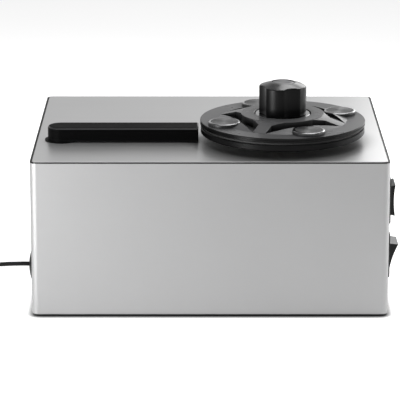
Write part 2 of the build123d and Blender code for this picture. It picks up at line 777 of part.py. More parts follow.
def lower_bush():
    """Flanged bush in the bracket for the spindle's lower end."""
    high = TOP - BRACKET_DROP + BRACKET_T
    low = high - BUSH_L + BUSH_FLANGE_T
    body = post(BUSH_R, low, high, SX, SY) + post(BUSH_FLANGE_R, high, high + BUSH_FLANGE_T, SX, SY)
    return body - post(SHAFT_R + RUN, low - 1, high + 5, SX, SY)


def spindle_clip():
    """Spring clip on the spindle, under the lower bush."""
    high = TOP - BRACKET_DROP + BRACKET_T - BUSH_L + BUSH_FLANGE_T - 0.2
    ring = tube(SHAFT_R + 2.5, SHAFT_R, high - CLIP_T, high, SX, SY)
    return ring - block(SX, SX + 10, SY - 2, SY + 2, high - 3, high + 2)


# ---------------------------------------------------------------- clamp
def clamp_disc():
    """Label clamp: flat rim, raised hub, ramp-like spokes with a pocket between each pair."""
    low = TOP + CLAMP_UNDER
    rim = TOP + CLAMP_TOP
    hub = TOP + HUB_TOP
    line = rim - CLAMP_LINE_Z
    bore = PIN_R + CLAMP_PIN_GAP
    disc = turned(
        [
            (bore, low), (CLAMP_R - 0.4, low), (CLAMP_R, low + 0.4), (CLAMP_R, line - CLAMP_LINE_H),
            (CLAMP_R - CLAMP_LINE_D, line - CLAMP_LINE_H), (CLAMP_R - CLAMP_LINE_D, line), (CLAMP_R, line),
            (CLAMP_R, rim - 0.3), (CLAMP_R - 0.3, rim), (RAMP_R, rim), (HUB_R, hub - 0.3), (HUB_R - 0.3, hub),
            (COUNTERBORE_R + 0.3, hub), (COUNTERBORE_R, hub - 0.3), (COUNTERBORE_R, TOP + CLAMP_FLOOR),
            (bore, TOP + CLAMP_FLOOR),
        ],
        SX, SY,
    )
    pocket = clamp_pocket()
    for i in range(SPOKES):
        disc -= Pos(SX, SY, 0) * Rot(0, 0, SPOKE_TURN + 45.0 + i * 90.0) * pocket
    for x, y in weight_places():
        disc -= post(WEIGHT_R + FIT, rim - WEIGHT_SINK, hub + 1, x, y)
    hollow = tube(HUB_R - CLAMP_SKIN, PIN_R + CLAMP_BOSS, low - 1, TOP + CLAMP_FLOOR - CLAMP_SKIN, SX, SY)
    return disc - hollow


def clamp_pocket():
    """Cutter of one pocket, about the axis and opening towards +X: deep at the hub, shallow outside."""
    low = TOP + CLAMP_TOP - POCKET_D
    rim = TOP + CLAMP_TOP
    high = TOP + HUB_TOP + 1
    side = Polyline((HUB_R - 2, low), (POCKET_REACH, rim), (POCKET_REACH, high), (HUB_R - 2, high), close=True)
    width = 2 * POCKET_REACH
    wedge = extrude(Plane.XZ * make_face(side), width / 2, both=True)
    reach = POCKET_REACH * 2
    gap = SPOKE_W / sqrt(2)
    quarter = make_face(Polyline((gap, 0), (gap + reach, reach), (gap + reach, -reach), close=True))
    cutter = wedge & (Pos(0, 0, low - 1) * extrude(quarter, high - low + 2))
    return cutter - post(HUB_R, low - 2, high + 2)


def weight_places():
    """Middles of the four clamp weights, halfway between the spokes."""
    return ring_places(SPOKES, WEIGHT_PCR, SPOKE_TURN + 45.0, SX, SY)


def clamp_weights():
    """Four polished steel weights with a bevelled edge."""
    low = TOP + CLAMP_TOP - WEIGHT_SINK
    high = TOP + WEIGHT_TOP
    profile = [
        (0, low), (WEIGHT_R, low), (WEIGHT_R, high - WEIGHT_BEVEL), (WEIGHT_R - WEIGHT_BEVEL, high), (0, high)
    ]
    return group(turned(profile, x, y) for x, y in weight_places())


def clamp_seal():
    """Rubber ring under the clamp's rim that keeps the label dry."""
    return tube(CLAMP_SEAL_R, CLAMP_SEAL_R - CLAMP_SEAL_W, TOP + MAT_TOP, TOP + CLAMP_UNDER, SX, SY)


def thrust_washer():
    """Polished washer that the knob bears on, in the hub's recess."""
    low = TOP + CLAMP_FLOOR
    high = TOP + WASHER_TOP
    return turned(
        [
            (THREAD_R + 1.0, low), (WASHER_R, low), (WASHER_R, high - WASHER_BEVEL),
            (WASHER_R - WASHER_BEVEL, high), (THREAD_R + 1.0, high),
        ],
        SX, SY,
    )


def knob():
    """Grip knob: a round body with shallow finger flutes and a conical top."""
    low = TOP + WASHER_TOP
    high = low + KNOB_H
    shoulder = high - KNOB_BEVEL
    body = turned(
        [
            (0, low), (KNOB_R - 0.8, low), (KNOB_R, low + 0.8), (KNOB_R, shoulder), (INLAY_R + 0.6, high),
            (0, high),
        ]
    )
    for x, y in ring_places(KNOB_FLUTES, KNOB_WAIST_R + KNOB_FLUTE_R, KNOB_TURN):
        body -= post(KNOB_FLUTE_R, low - 1, high + 1, x, y)
    body = Pos(SX, SY, 0) * body
    body -= post(INLAY_R + FIT, high - INLAY_T, high + 1, SX, SY)
    return body - post(INSERT_R, low - 1, low + INSERT_L, SX, SY)


def knob_insert():
    """Brass insert with the knob's thread."""
    low = TOP + WASHER_TOP
    return tube(INSERT_R, THREAD_R + RUN, low, low + INSERT_L, SX, SY)


def knob_inlay():
    """Round grey disc let into the knob's top."""
    high = TOP + WASHER_TOP + KNOB_H
    return post(INLAY_R, high - INLAY_T, high, SX, SY)


# ---------------------------------------------------------------- suction arm
def arm_slab(inset, low, high):
    """Slab with the arm's outline: round about the swivel, square at the tip."""
    half = ARM_W / 2 - inset
    tip = ARM_END - inset
    outline = make_face(
        Curve() + [
            Line((0, half), (tip, half)), Line((tip, half), (tip, -half)), Line((tip, -half), (0, -half)),
            ThreePointArc((0, -half), (-half, 0), (0, half)),
        ]
    )
    return Pos(AX, AY, low) * extrude(outline, high - low)


def suction_arm():
    """Hollow arm, closed above and open below."""
    low = TOP + ARM_UNDER + ARM_BASE_T
    high = TOP + ARM_TOP
    body = arm_slab(0, low, high)
    body = fillet(body.faces().sort_by(Axis.Z)[-1].edges(), ARM_EDGE)
    return body - arm_slab(ARM_WALL, low - 1, high - ARM_WALL)


def arm_base():
    """Lower cover of the arm, with the suction slot and the pipe's hole."""
    low = TOP + ARM_UNDER
    high = low + ARM_BASE_T
    plate = arm_slab(0, low, high)
    x0 = AX + SLOT_START
    slot = block(x0, x0 + SLOT_L, AY - SLOT_W / 2, AY + SLOT_W / 2, low - 1, high + 1)
    return plate - slot - post(TUBE_R, low - 1, high + 1, AX, AY)


def felt_strips():
    """Two felt strips along the suction slot."""
    low = TOP + ARM_UNDER - FELT_T
    high = TOP + ARM_UNDER
    x0 = AX + SLOT_START - FELT_PAST
    x1 = AX + SLOT_START + SLOT_L + FELT_PAST
    strips = []
    for side in (-1, 1):
        near = SLOT_W / 2 + FELT_OFF
        edges = sorted([AY + side * near, AY + side * (near + FELT_W)])
        strips.append(block(x0, x1, edges[0], edges[1], low, high))
    return group(strips)


def arm_pipe():
    """Pipe that carries the arm and leads air and liquid down."""
    high = TOP + ARM_UNDER + ARM_BASE_T + 1.5
    return tube(TUBE_R, TUBE_R - TUBE_WALL, TOP - TUBE_DROP, high, AX, AY)


def swivel_sleeve():
    """Plastic sleeve that turns in the socket and that the pipe slides in."""
    high = TOP + PLATE_PROUD + COLLAR_T - 0.1
    return tube(SLEEVE_R, TUBE_R + RUN, TOP - SLEEVE_DROP, high, AX, AY)


def socket_screw_places():
    """Studs of the arm socket's flange, clear of the left wall."""
    reach = SOCKET_R + 3.4
    turns = [radians(t) for t in SOCKET_STUDS]
    return [(AX + reach * cos(t), AY + reach * sin(t)) for t in turns]


def arm_socket():
    """Flanged socket under the top plate, with a hose end below."""
    z0 = PLATE_UNDER
    body = post(SOCKET_R, TOP - SOCKET_DROP, z0, AX, AY)
    wall = LEFT + SHEET + SEAL_LEDGE_W + 0.5
    flange = post(SOCKET_FLANGE_R, z0 - SOCKET_FLANGE_T, z0, AX, AY)
    reach = SOCKET_FLANGE_R + 1
    body += flange - block(wall - reach, wall, AY - reach, AY + reach, z0 - SOCKET_FLANGE_T - 1, z0 + 1)
    body -= post(SLEEVE_R + RUN, TOP - SLEEVE_DROP - 0.3, TOP, AX, AY)
    body -= post(TUBE_R + 0.6, TOP - SOCKET_DROP - 1, TOP, AX, AY)
    for x, y in socket_screw_places():
        body -= post(SCREW_R + FIT, z0 - SOCKET_FLANGE_T - 1, z0 + 1, x, y)
    return body


def arm_collar():
    """Low black ring on the top plate, round the arm's pipe."""
    low = TOP + PLATE_PROUD
    return tube(COLLAR_R, SLEEVE_R + HOLE_GAP, low, low + COLLAR_T, AX, AY)


# ---------------------------------------------------------------- waste tank
def tank_outline(inset):
    """Rounded plan of the tank, moved in by an inset."""
    w = TANK_W - 2 * inset
    d = TANK_BACK - TANK_FRONT - 2 * inset
    return RectangleRounded(w, d, TANK_R - min(inset, TANK_R - 1))


def tank_slab(inset, low, high):
    """Slab with the tank's rounded plan."""
    place = Pos((TANK_LEFT + TANK_RIGHT) / 2, (TANK_FRONT + TANK_BACK) / 2, low)
    return place * extrude(tank_outline(inset), high - low)


def waste_tank():
    """Moulded tank for the used liquid, with a drain hole low in its back wall."""
    body = tank_slab(TANK_WALL, FLOOR, TANK_TOP) + tank_slab(0, TANK_TOP - TANK_RIM, TANK_TOP)
    body -= tank_slab(2 * TANK_WALL, FLOOR + TANK_WALL, TANK_TOP + 1)
    body += rod_y(DRAIN_R + TANK_WALL, TANK_BACK - 2 * TANK_WALL, TANK_BACK, DX, DZ)
    return body - rod_y(DRAIN_BORE, TANK_BACK - 3 * TANK_WALL, TANK_BACK + 1, DX, DZ)


def tank_gasket():
    """Rubber ring between the tank and its lid."""
    return tank_slab(0.3, TANK_TOP, TANK_TOP + GASKET_T) - tank_slab(2 * TANK_WALL, TANK_TOP - 1, TANK_TOP + 3)


def tank_lid():
    """Lid with an inlet spigot under the arm and an outlet spigot to the blower."""
    low = TANK_TOP + GASKET_T
    lid = tank_slab(0, low, LID_TOP)
    for x, y in ((AX, AY), (OUTLET_X, OUTLET_Y)):
        lid += post(SPIGOT_R, LID_TOP, LID_TOP + SPIGOT_L, x, y)
        lid -= post(SPIGOT_BORE, low - 1, LID_TOP + SPIGOT_L + 1, x, y)
    return lid


def inlet_hose():
    """Short rubber sleeve from the arm socket to the tank's lid."""
    low = LID_TOP
    high = TOP - SOCKET_DROP + HOSE_GRIP
    waist = LID_TOP + SPIGOT_L
    socket_end = TOP - SOCKET_DROP
    return turned(
        [
            (SPIGOT_R, low), (SPIGOT_R + HOSE_WALL, low), (SPIGOT_R + HOSE_WALL, waist),
            (SOCKET_R + HOSE_WALL, socket_end), (SOCKET_R + HOSE_WALL, high), (SOCKET_R, high),
            (SOCKET_R, socket_end - 0.5), (SPIGOT_R, waist + 0.5),
        ],
        AX, AY,
    )


def blower_hose():
    """Bent rubber hose from the tank's lid over to the blower's eye."""
    path = FilletPolyline(
        (OUTLET_X, OUTLET_Y, LID_TOP), (OUTLET_X, OUTLET_Y, HOSE_CREST), (BX, BY, HOSE_CREST),
        (BX, BY, BLOWER_HIGH), radius=HOSE_BEND
    )
    start = Plane(origin=(OUTLET_X, OUTLET_Y, LID_TOP), z_dir=(0, 0, 1))
    outer = sweep(start * Circle(SPIGOT_R + HOSE_WALL), path=path)
    return outer - sweep(start * Circle(SPIGOT_R), path=path)


# ---------------------------------------------------------------- blower
def blower_housing():
    """Round fan housing with an eye spigot on top and an outlet to the rear grille."""
    body = post(BLOWER_R, BLOWER_LOW, BLOWER_HIGH, BX, BY)
    outlet_w = GRILLE_W - 2 * GRILLE_FRAME
    reach = BACK - SHEET - 0.3
    body += block(BX - outlet_w / 2, BX + outlet_w / 2, BY, reach, BLOWER_LOW, BLOWER_HIGH)
    low = BLOWER_LOW + BLOWER_WALL
    high = BLOWER_HIGH - BLOWER_WALL
    side = outlet_w / 2 - BLOWER_WALL
    body -= post(BLOWER_R - BLOWER_WALL, low, high, BX, BY)
    body -= block(BX - side, BX + side, BY, reach + 1, low, high)
    body += post(SPIGOT_R, BLOWER_HIGH - 0.2, BLOWER_HIGH + EYE_L, BX, BY)
    body -= post(EYE_R, high - 1, BLOWER_HIGH + EYE_L + 1, BX, BY)
    return body - post(BLOWER_SHAFT_R + RUN, BLOWER_LOW - 1, low + 1, BX, BY)


def blower_motor():
    """Motor can under the fan housing."""
    can = post(BLOWER_CAN_R, FLOOR + BLOWER_CAN_RISE, BLOWER_LOW, BX, BY)
    can = chamfer(can.faces().sort_by(Axis.Z)[0].edges(), 2.0)
    return can - post(BLOWER_SHAFT_R + RUN, BLOWER_LOW - BLOWER_SHAFT_L - 1, BLOWER_LOW + 1, BX, BY)


def blower_impeller():
    """Fan wheel: a disc with backward-curved blades on the motor's shaft."""
    low = BLOWER_LOW + BLOWER_WALL + IMPELLER_RISE
    disc = post(IMPELLER_R, low, low + IMPELLER_DISC_T, BX, BY)
    disc += post(IMPELLER_HUB_R, low, low + IMPELLER_H, BX, BY)
    disc += post(BLOWER_SHAFT_R, BLOWER_LOW - BLOWER_SHAFT_L, low + 1, BX, BY)
    for i in range(IMPELLER_BLADES):
        arc = ThreePointArc((7.0, 0), (16.0, 4.0), (IMPELLER_R - 1.0, 1.0))
        blade = extrude(make_face(trace(arc, BLADE_T)), IMPELLER_H - 0.5)
        disc += Pos(BX, BY, low + 0.5) * Rot(0, 0, 360.0 * i / IMPELLER_BLADES) * blade
    return disc


def blower_legs():
    """Legs with rubber ends that stand the blower on the base plate."""
    places = ring_places(LEGS, BLOWER_R - LEG_R - 0.5, 90.0, BX, BY)
    return group(post(LEG_R, FLOOR, BLOWER_LOW, x, y) for x, y in places)


# ---------------------------------------------------------------- switches
def switch_box_w():
    """Outer width of a switch's box behind its bezel."""
    return ROCKER_W + 2 * ROCKER_GAP + 2 * SWITCH_WALL


def switch_frame(height):
    """Switch bezel with its open box behind the wall."""
    yc = FRONT + SWITCH_Y
    plane = Plane(origin=(RIGHT, yc, height), x_dir=(0, 1, 0), z_dir=(1, 0, 0))
    bezel = extrude(plane * RectangleRounded(BEZEL_W, BEZEL_H, 1.2), BEZEL_T)
    bezel = chamfer(bezel.faces().sort_by(Axis.X)[-1].edges(), 0.5)
    half_w = switch_box_w() / 2
    half_h = OPEN_HALF + SWITCH_WALL
    back = RIGHT - SWITCH_DEPTH
    frame = bezel + block(back, RIGHT + 0.2, yc - half_w, yc + half_w, height - half_h, height + half_h)
    clear_w = ROCKER_W / 2 + ROCKER_GAP
    frame -= block(
        back + SWITCH_WALL, RIGHT + 5, yc - clear_w, yc + clear_w, height - OPEN_HALF, height + OPEN_HALF
    )
    frame -= rod_y(PIVOT_R + RUN, yc - half_w - 1, yc + half_w + 1, RIGHT - PIVOT_DEPTH, height)
    for i in range(TERMINALS):
        z = height + (i - (TERMINALS - 1) / 2) * TERMINAL_STEP
        half = TERMINAL_W / 2
        thin = TERMINAL_T / 2
        frame += block(back - TERMINAL_L, back + 0.2, yc - half, yc + half, z - thin, z + thin)
    return frame


def rocker(height, tilt):
    """Rocker with a hollowed face, turned about its pivot pins."""
    outline = make_face(
        Curve() + [
            Line((ROCKER_OUT, -ROCKER_HALF), (-2.6, -ROCKER_HALF + 2.6)),
            Line((-2.6, -ROCKER_HALF + 2.6), (-4.0, 0)),
            Line((-4.0, 0), (-2.6, ROCKER_HALF - 2.6)),
            Line((-2.6, ROCKER_HALF - 2.6), (ROCKER_OUT, ROCKER_HALF)),
            ThreePointArc(
                (ROCKER_OUT, ROCKER_HALF), (ROCKER_OUT - ROCKER_HOLLOW, 0), (ROCKER_OUT, -ROCKER_HALF)
            ),
        ]
    )
    body = extrude(Plane.XZ * outline, ROCKER_W / 2, both=True)
    pin_half = switch_box_w() / 2 - 0.2
    body += rod_y(PIVOT_R, -pin_half, pin_half, 0, 0)
    return Pos(RIGHT - PIVOT_DEPTH, FRONT + SWITCH_Y, height) * Rot(0, tilt, 0) * body


# ---------------------------------------------------------------- control board
def control_board():
    """Circuit board with its capacitor, relay, terminal strip and heat sink."""
    low = FLOOR + BOARD_RISE
    z = low + BOARD_T
    board = block(BOARD_X0, BOARD_X1, BOARD_Y0, BOARD_Y1, low, z)
    across, back, radius, height = CAPACITOR
    board += post(radius, z, z + height, BOARD_X0 + across, BOARD_Y0 + back)
    for x0, x1, y0, y1, high in (RELAY, TERMINAL_STRIP, HEAT_SINK):
        board += block(BOARD_X0 + x0, BOARD_X0 + x1, BOARD_Y0 + y0, BOARD_Y0 + y1, z, z + high)
    return board


def board_places():
    """Middles of the board's spacers."""
    xs = (BOARD_X0 + SPACER_INSET, BOARD_X1 - SPACER_INSET)
    ys = (BOARD_Y0 + SPACER_INSET, BOARD_Y1 - SPACER_INSET)
    return [(x, y) for x in xs for y in ys]


def board_spacers():
    """Four spacers between the base plate and the board."""
    return group(post(SPACER_R, FLOOR, FLOOR + BOARD_RISE, x, y) for x, y in board_places())


# ---------------------------------------------------------------- power cord
def cord_gland():
    """Domed gland in the left wall, with a threaded barrel inside."""
    rise = GLAND_DOME - GLAND_EDGE
    sphere = (GLAND_R ** 2 + rise ** 2) / (2 * rise)
    edge_z = -GLAND_EDGE
    profile = make_face(
        Curve() + [
            Line((CORD_R, GLAND_BARREL_L), (GLAND_BARREL_R, GLAND_BARREL_L)),
            Line((GLAND_BARREL_R, GLAND_BARREL_L), (GLAND_BARREL_R, 0)),
            Line((GLAND_BARREL_R, 0), (GLAND_R, 0)),
            Line((GLAND_R, 0), (GLAND_R, edge_z)),
            ThreePointArc(
                (GLAND_R, edge_z),
                (GLAND_R / 2, edge_z + sphere - rise - sqrt(sphere ** 2 - GLAND_R ** 2 / 4)),
                (CORD_R, edge_z + sphere - rise - sqrt(sphere ** 2 - CORD_R ** 2)),
            ),
            Line((CORD_R, edge_z + sphere - rise - sqrt(sphere ** 2 - CORD_R ** 2)), (CORD_R, GLAND_BARREL_L)),
        ]
    )
    body = revolve(Plane.XZ * profile, Axis.Z)
    return Pos(LEFT, GY, GZ) * Rot(0, 90, 0) * body


def gland_nut():
    """Hexagon nut that draws the gland against the wall."""
    plane = Plane(origin=(LEFT + SHEET, GY, GZ), x_dir=(0, 1, 0), z_dir=(1, 0, 0))
    nut = extrude(plane * RegularPolygon(NUT_AF / sqrt(3), 6), NUT_T)
    return nut - rod_x(GLAND_BARREL_R, LEFT, LEFT + 20, GY, GZ)


CORD_ROUTE = [
    (LEFT + GLAND_BARREL_L, GY, GZ),
    (LEFT - 22.0, GY + 0.3, GZ + 0.9),
    (LEFT - 48.0, GY + 1.0, GZ - 5.0),
    (LEFT - 70.0, GY + 2.0, GZ - 21.0),
    (LEFT - 97.0, GY + 5.0, CORD_R + 0.2),
    (LEFT - 128.0, GY + 12.0, CORD_R),
]
COIL_TURN_R = COIL_MEAN_R + COIL_W / 2 - CORD_R     # the outermost turn
COIL_X = LEFT - COIL_FROM_LEFT
COIL_Y = GY + COIL_BEHIND
TAIL_ROUTE = [
    (COIL_X, COIL_Y - COIL_TURN_R, COIL_H - CORD_R),
    (COIL_X - 25.0, COIL_Y - 20.8, 8.5),
    (COIL_X - 50.0, COIL_Y - 14.0, 2.5),
    (COIL_X - 70.0, COIL_Y + 2.0, PLUG_R - 1.1),
    (COIL_X - 80.0, COIL_Y + 24.0, PLUG_R),
]


def cord_arcs(points):
    """Radius of each bend: as large as its two runs allow."""
    radii = []
    vectors = [Vector(*p) for p in points]
    for before, here, after in zip(vectors, vectors[1:], vectors[2:]):
        turn = (here - before).get_angle(after - here)
        run = min((here - before).length, (after - here).length)
        radii.append(0.45 * run / tan(radians(turn) / 2))
    return radii


def cord_tube(points):
    """Cord along straight runs joined by tangent arcs."""
    path = FilletPolyline(*points, radius=cord_arcs(points))
    start = Plane(origin=path @ 0, z_dir=path % 0)
    return sweep(start * Circle(CORD_R), path=path)


def power_cord():
    """Cord from the gland's inner end down to the coil."""
    return cord_tube(CORD_ROUTE)


def cord_tail():
    """Cord from the coil to the plug."""
    return cord_tube(TAIL_ROUTE)


def cord_coil():
    """Outer shape of the coiled length, lying flat."""
    profile = Pos(COIL_MEAN_R, COIL_H / 2) * RectangleRounded(COIL_W, COIL_H, 2.0)
    return Pos(COIL_X, COIL_Y, 0) * revolve(Plane.XZ * profile, Axis.Z)


def cord_plug():
    """Barrel plug with a tapered strain relief and a hollow contact pin."""
    x0, y0, z0 = TAIL_ROUTE[-1]
    before = TAIL_ROUTE[-2]
    way = Vector(x0 - before[0], y0 - before[1], 0)
    profile = make_face(
        Polyline(
            (0, 0), (RELIEF_R, 0), (PLUG_R - 1.5, RELIEF_L), (PLUG_R, RELIEF_L + 1.5),
            (PLUG_R, RELIEF_L + PLUG_L - 1.0), (PLUG_R - 1.0, RELIEF_L + PLUG_L),
            (PLUG_PIN_R, RELIEF_L + PLUG_L), (PLUG_PIN_R, RELIEF_L + PLUG_L + PLUG_PIN_L),
            (PLUG_PIN_BORE, RELIEF_L + PLUG_L + PLUG_PIN_L), (PLUG_PIN_BORE, RELIEF_L + PLUG_L),
            (0, RELIEF_L + PLUG_L), close=True,
        )
    )
    body = revolve(Plane.XZ * profile, Axis.Z)
    return Plane(origin=(x0, y0, z0), z_dir=way).location * body


def build():
    """Every sub-part, by node name."""
    keep("case_wrap", case_wrap())
    keep("edge_seal", edge_seal())
    keep("top_plate", top_plate())
    keep("base_plate", base_plate())
    keep("feet", feet())
    keep("corner_blocks", corner_blocks())
    keep("case_screws", group(base_screws() + grille_screws()))
    keep("exhaust_grille", exhaust_grille())
    keep("drain_spout", drain_spout())
    keep("drain_cap", drain_cap())
    keep("spindle_bearing", spindle_bearing())
    keep("flange_nuts", bearing_nuts())
    keep("spindle", spindle())
    keep("platter", platter())
    keep("platter_screws", platter_screws())
    keep("platter_mat", platter_mat())
    keep("driven_gear", driven_gear())
    keep("spindle_clip", spindle_clip())
    keep("motor_pinion", motor_pinion())
    keep("motor_shaft", motor_shaft())
    keep("drive_motor", drive_motor())
    keep("drive_bracket", drive_bracket())
    keep("bracket_pillars", bracket_pillars())
    keep("drive_screws", group(motor_screws() + bracket_screws()))
    keep("lower_bush", lower_bush())
    keep("clamp_disc", clamp_disc())
    keep("clamp_weights", clamp_weights())
    keep("clamp_seal", clamp_seal())
    keep("thrust_washer", thrust_washer())
    keep("knob", knob())
    keep("knob_insert", knob_insert())
    keep("knob_inlay", knob_inlay())
    keep("suction_arm", suction_arm())
    keep("arm_base", arm_base())
    keep("felt_strips", felt_strips())
    keep("arm_pipe", arm_pipe())
    keep("swivel_sleeve", swivel_sleeve())
    keep("arm_socket", arm_socket())
    keep("arm_collar", arm_collar())
    keep("waste_tank", waste_tank())
    keep("tank_gasket", tank_gasket())
    keep("tank_lid", tank_lid())
    keep("inlet_hose", inlet_hose())
    keep("blower_hose", blower_hose())
    keep("blower_housing", blower_housing())
    keep("blower_motor", blower_motor())
    keep("blower_impeller", blower_impeller())
    keep("blower_legs", blower_legs())
    keep("direction_switch", switch_frame(SWITCH_HEIGHTS["direction"]))
    keep("vacuum_switch", switch_frame(SWITCH_HEIGHTS["vacuum"]))
    keep("direction_rocker", rocker(SWITCH_HEIGHTS["direction"], 0.0))
    keep("vacuum_rocker", rocker(SWITCH_HEIGHTS["vacuum"], TILT))
    keep("control_board", control_board())
    keep("board_spacers", board_spacers())
    keep("cord_gland", cord_gland())
    keep("gland_nut", gland_nut())
    keep("power_cord", power_cord())
    keep("cord_coil", cord_coil())
    keep("cord_tail", cord_tail())
    keep("cord_plug", cord_plug())


build()
os.makedirs("parts", exist_ok=True)
for name, shape in PARTS.items():
    export_step(shape, "parts/" + name + ".step")
print("nodes", len(PARTS))
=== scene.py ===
import math

import bmesh
import bpy
import numpy as np
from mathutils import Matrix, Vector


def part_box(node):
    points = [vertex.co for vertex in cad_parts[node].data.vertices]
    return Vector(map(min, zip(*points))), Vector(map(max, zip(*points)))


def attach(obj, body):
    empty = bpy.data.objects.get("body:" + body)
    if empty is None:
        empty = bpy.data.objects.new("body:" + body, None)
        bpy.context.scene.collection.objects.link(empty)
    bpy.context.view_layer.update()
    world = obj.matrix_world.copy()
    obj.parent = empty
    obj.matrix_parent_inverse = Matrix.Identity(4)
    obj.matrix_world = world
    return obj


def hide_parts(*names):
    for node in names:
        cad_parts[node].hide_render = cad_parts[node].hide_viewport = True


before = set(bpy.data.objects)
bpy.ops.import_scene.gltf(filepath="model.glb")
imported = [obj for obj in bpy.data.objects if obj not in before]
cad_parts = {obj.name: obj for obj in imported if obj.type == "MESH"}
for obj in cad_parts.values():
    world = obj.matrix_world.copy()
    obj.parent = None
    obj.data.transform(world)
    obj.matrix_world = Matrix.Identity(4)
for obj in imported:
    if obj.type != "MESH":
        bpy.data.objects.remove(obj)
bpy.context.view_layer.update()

MM = 0.001


# ------------------------------------------------------------------ camera
# A long lens in front of the machine and above it, with a little downward shift so that the upright
# folds of the case stay nearly upright to the camera.
CASE_LOW, CASE_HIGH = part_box("case_wrap")
SEAL_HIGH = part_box("edge_seal")[1]
CASE_MID_X = (CASE_LOW[0] + CASE_HIGH[0]) / 2
LEFT_X = CASE_LOW[0]
FRONT_Y = CASE_LOW[1]
PLATE_Z = SEAL_HIGH[2]
CAMERA_BACK = 1.5188
CAMERA_RISE = 0.4005
CAMERA_SIDE = -0.0068
CAMERA_PITCH = 13.7139
CAMERA_FOCAL = 2328.84
CAMERA_SHIFT = -0.2
FRAME_PIXELS = 400
SENSOR = 36.0

camera_data = bpy.data.cameras.new("camera")
camera_data.sensor_width = SENSOR
camera_data.lens = CAMERA_FOCAL / FRAME_PIXELS * SENSOR
camera_data.shift_y = CAMERA_SHIFT
camera_data.clip_end = 20.0
camera = bpy.data.objects.new("camera", camera_data)
camera.location = (CASE_MID_X + CAMERA_SIDE, FRONT_Y - CAMERA_BACK, PLATE_Z + CAMERA_RISE)
camera.rotation_euler = (math.radians(90 - CAMERA_PITCH), 0, 0)
bpy.context.scene.collection.objects.link(camera)
bpy.context.scene.camera = camera
bpy.context.scene.view_settings.view_transform = "Standard"


# ------------------------------------------------------------------ power cord
# A limp two-core lead of 3 mm in soft black vinyl. It leaves the gland in the left wall, arches a
# little, comes down to the table, and its spare length is wound into a flat coil of twelve turns.
GLAND_LOW, GLAND_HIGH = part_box("cord_gland")
GLAND_Y = (GLAND_LOW[1] + GLAND_HIGH[1]) / 2
GLAND_Z = (GLAND_LOW[2] + GLAND_HIGH[2]) / 2
CORD_R = 1.5 * MM
COIL_LOW, COIL_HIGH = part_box("cord_coil")
COIL_X = (COIL_LOW[0] + COIL_HIGH[0]) / 2
COIL_Y = (COIL_LOW[1] + COIL_HIGH[1]) / 2
COIL_TURN_R = (COIL_HIGH[0] - COIL_LOW[0]) / 2 - CORD_R
COIL_ORDER = [(0, 0), (0, 1), (0, 2), (1, 2), (1, 1), (1, 0), (2, 0), (2, 1), (2, 2), (3, 2), (3, 1), (3, 0)]
COIL_STEP = 3.2 * MM
TURN_POINTS = 14
MIX_A, MIX_B, MIX_COLOUR = 6, 7, 2      # a Mix node's sockets for colours
PLASTIC_GRAIN_DEPTH = 0.08 * MM


def from_gland(*steps):
    """Points of the cord given in mm: along X from the left wall, back from the gland, up from the table."""
    return [(LEFT_X + x * MM, GLAND_Y + y * MM, z * MM) for x, y, z in steps]


def from_coil(*steps):
    """Points of the cord given in mm from the coil's middle, up from the table."""
    return [(COIL_X + x * MM, COIL_Y + y * MM, z * MM) for x, y, z in steps]


def coil_turns():
    """Flat coil seen from above, wound clockwise from its front. Turn k lies in one row and column of the
    coil's section; over its last third it eases across to the next turn's row and column."""
    turn = np.arange(1, len(COIL_ORDER) * TURN_POINTS) / TURN_POINTS
    index = turn.astype(int)
    row, column = np.array(COIL_ORDER + COIL_ORDER[-1:]).T
    ease = np.clip((turn - index - 0.66) / 0.34, 0, 1)
    level = row[index] + (row[index + 1] - row[index]) * ease
    inward = column[index] + (column[index + 1] - column[index]) * ease
    angle = -np.pi / 2 - 2 * np.pi * turn
    radius = COIL_TURN_R - inward * COIL_STEP
    x = COIL_X + radius * np.cos(angle)
    y = COIL_Y + radius * np.sin(angle)
    return np.stack([x, y, CORD_R + level * COIL_STEP], axis=1).tolist()


def soft_line(name, points, radius):
    """Round cord along a smooth open NURBS line of order three through its end points."""
    curve = bpy.data.curves.new(name, "CURVE")
    curve.dimensions = "3D"
    curve.bevel_depth = radius
    curve.bevel_resolution = 5
    curve.resolution_u = 6
    curve.use_fill_caps = True
    line = curve.splines.new("NURBS")
    line.points.add(len(points) - 1)
    line.points.foreach_set("co", [value for point in points for value in (*point, 1.0)])
    line.order_u = 3
    line.use_endpoint_u = True
    made = bpy.data.objects.new(name, curve)
    bpy.context.scene.collection.objects.link(made)
    return made


def shader_tree(name):
    """New material with its node tree, its main shader and a function that joins two sockets."""
    material = bpy.data.materials.new(name)
    material.use_nodes = True
    tree = material.node_tree
    return material, tree, tree.nodes["Principled BSDF"], tree.links.new


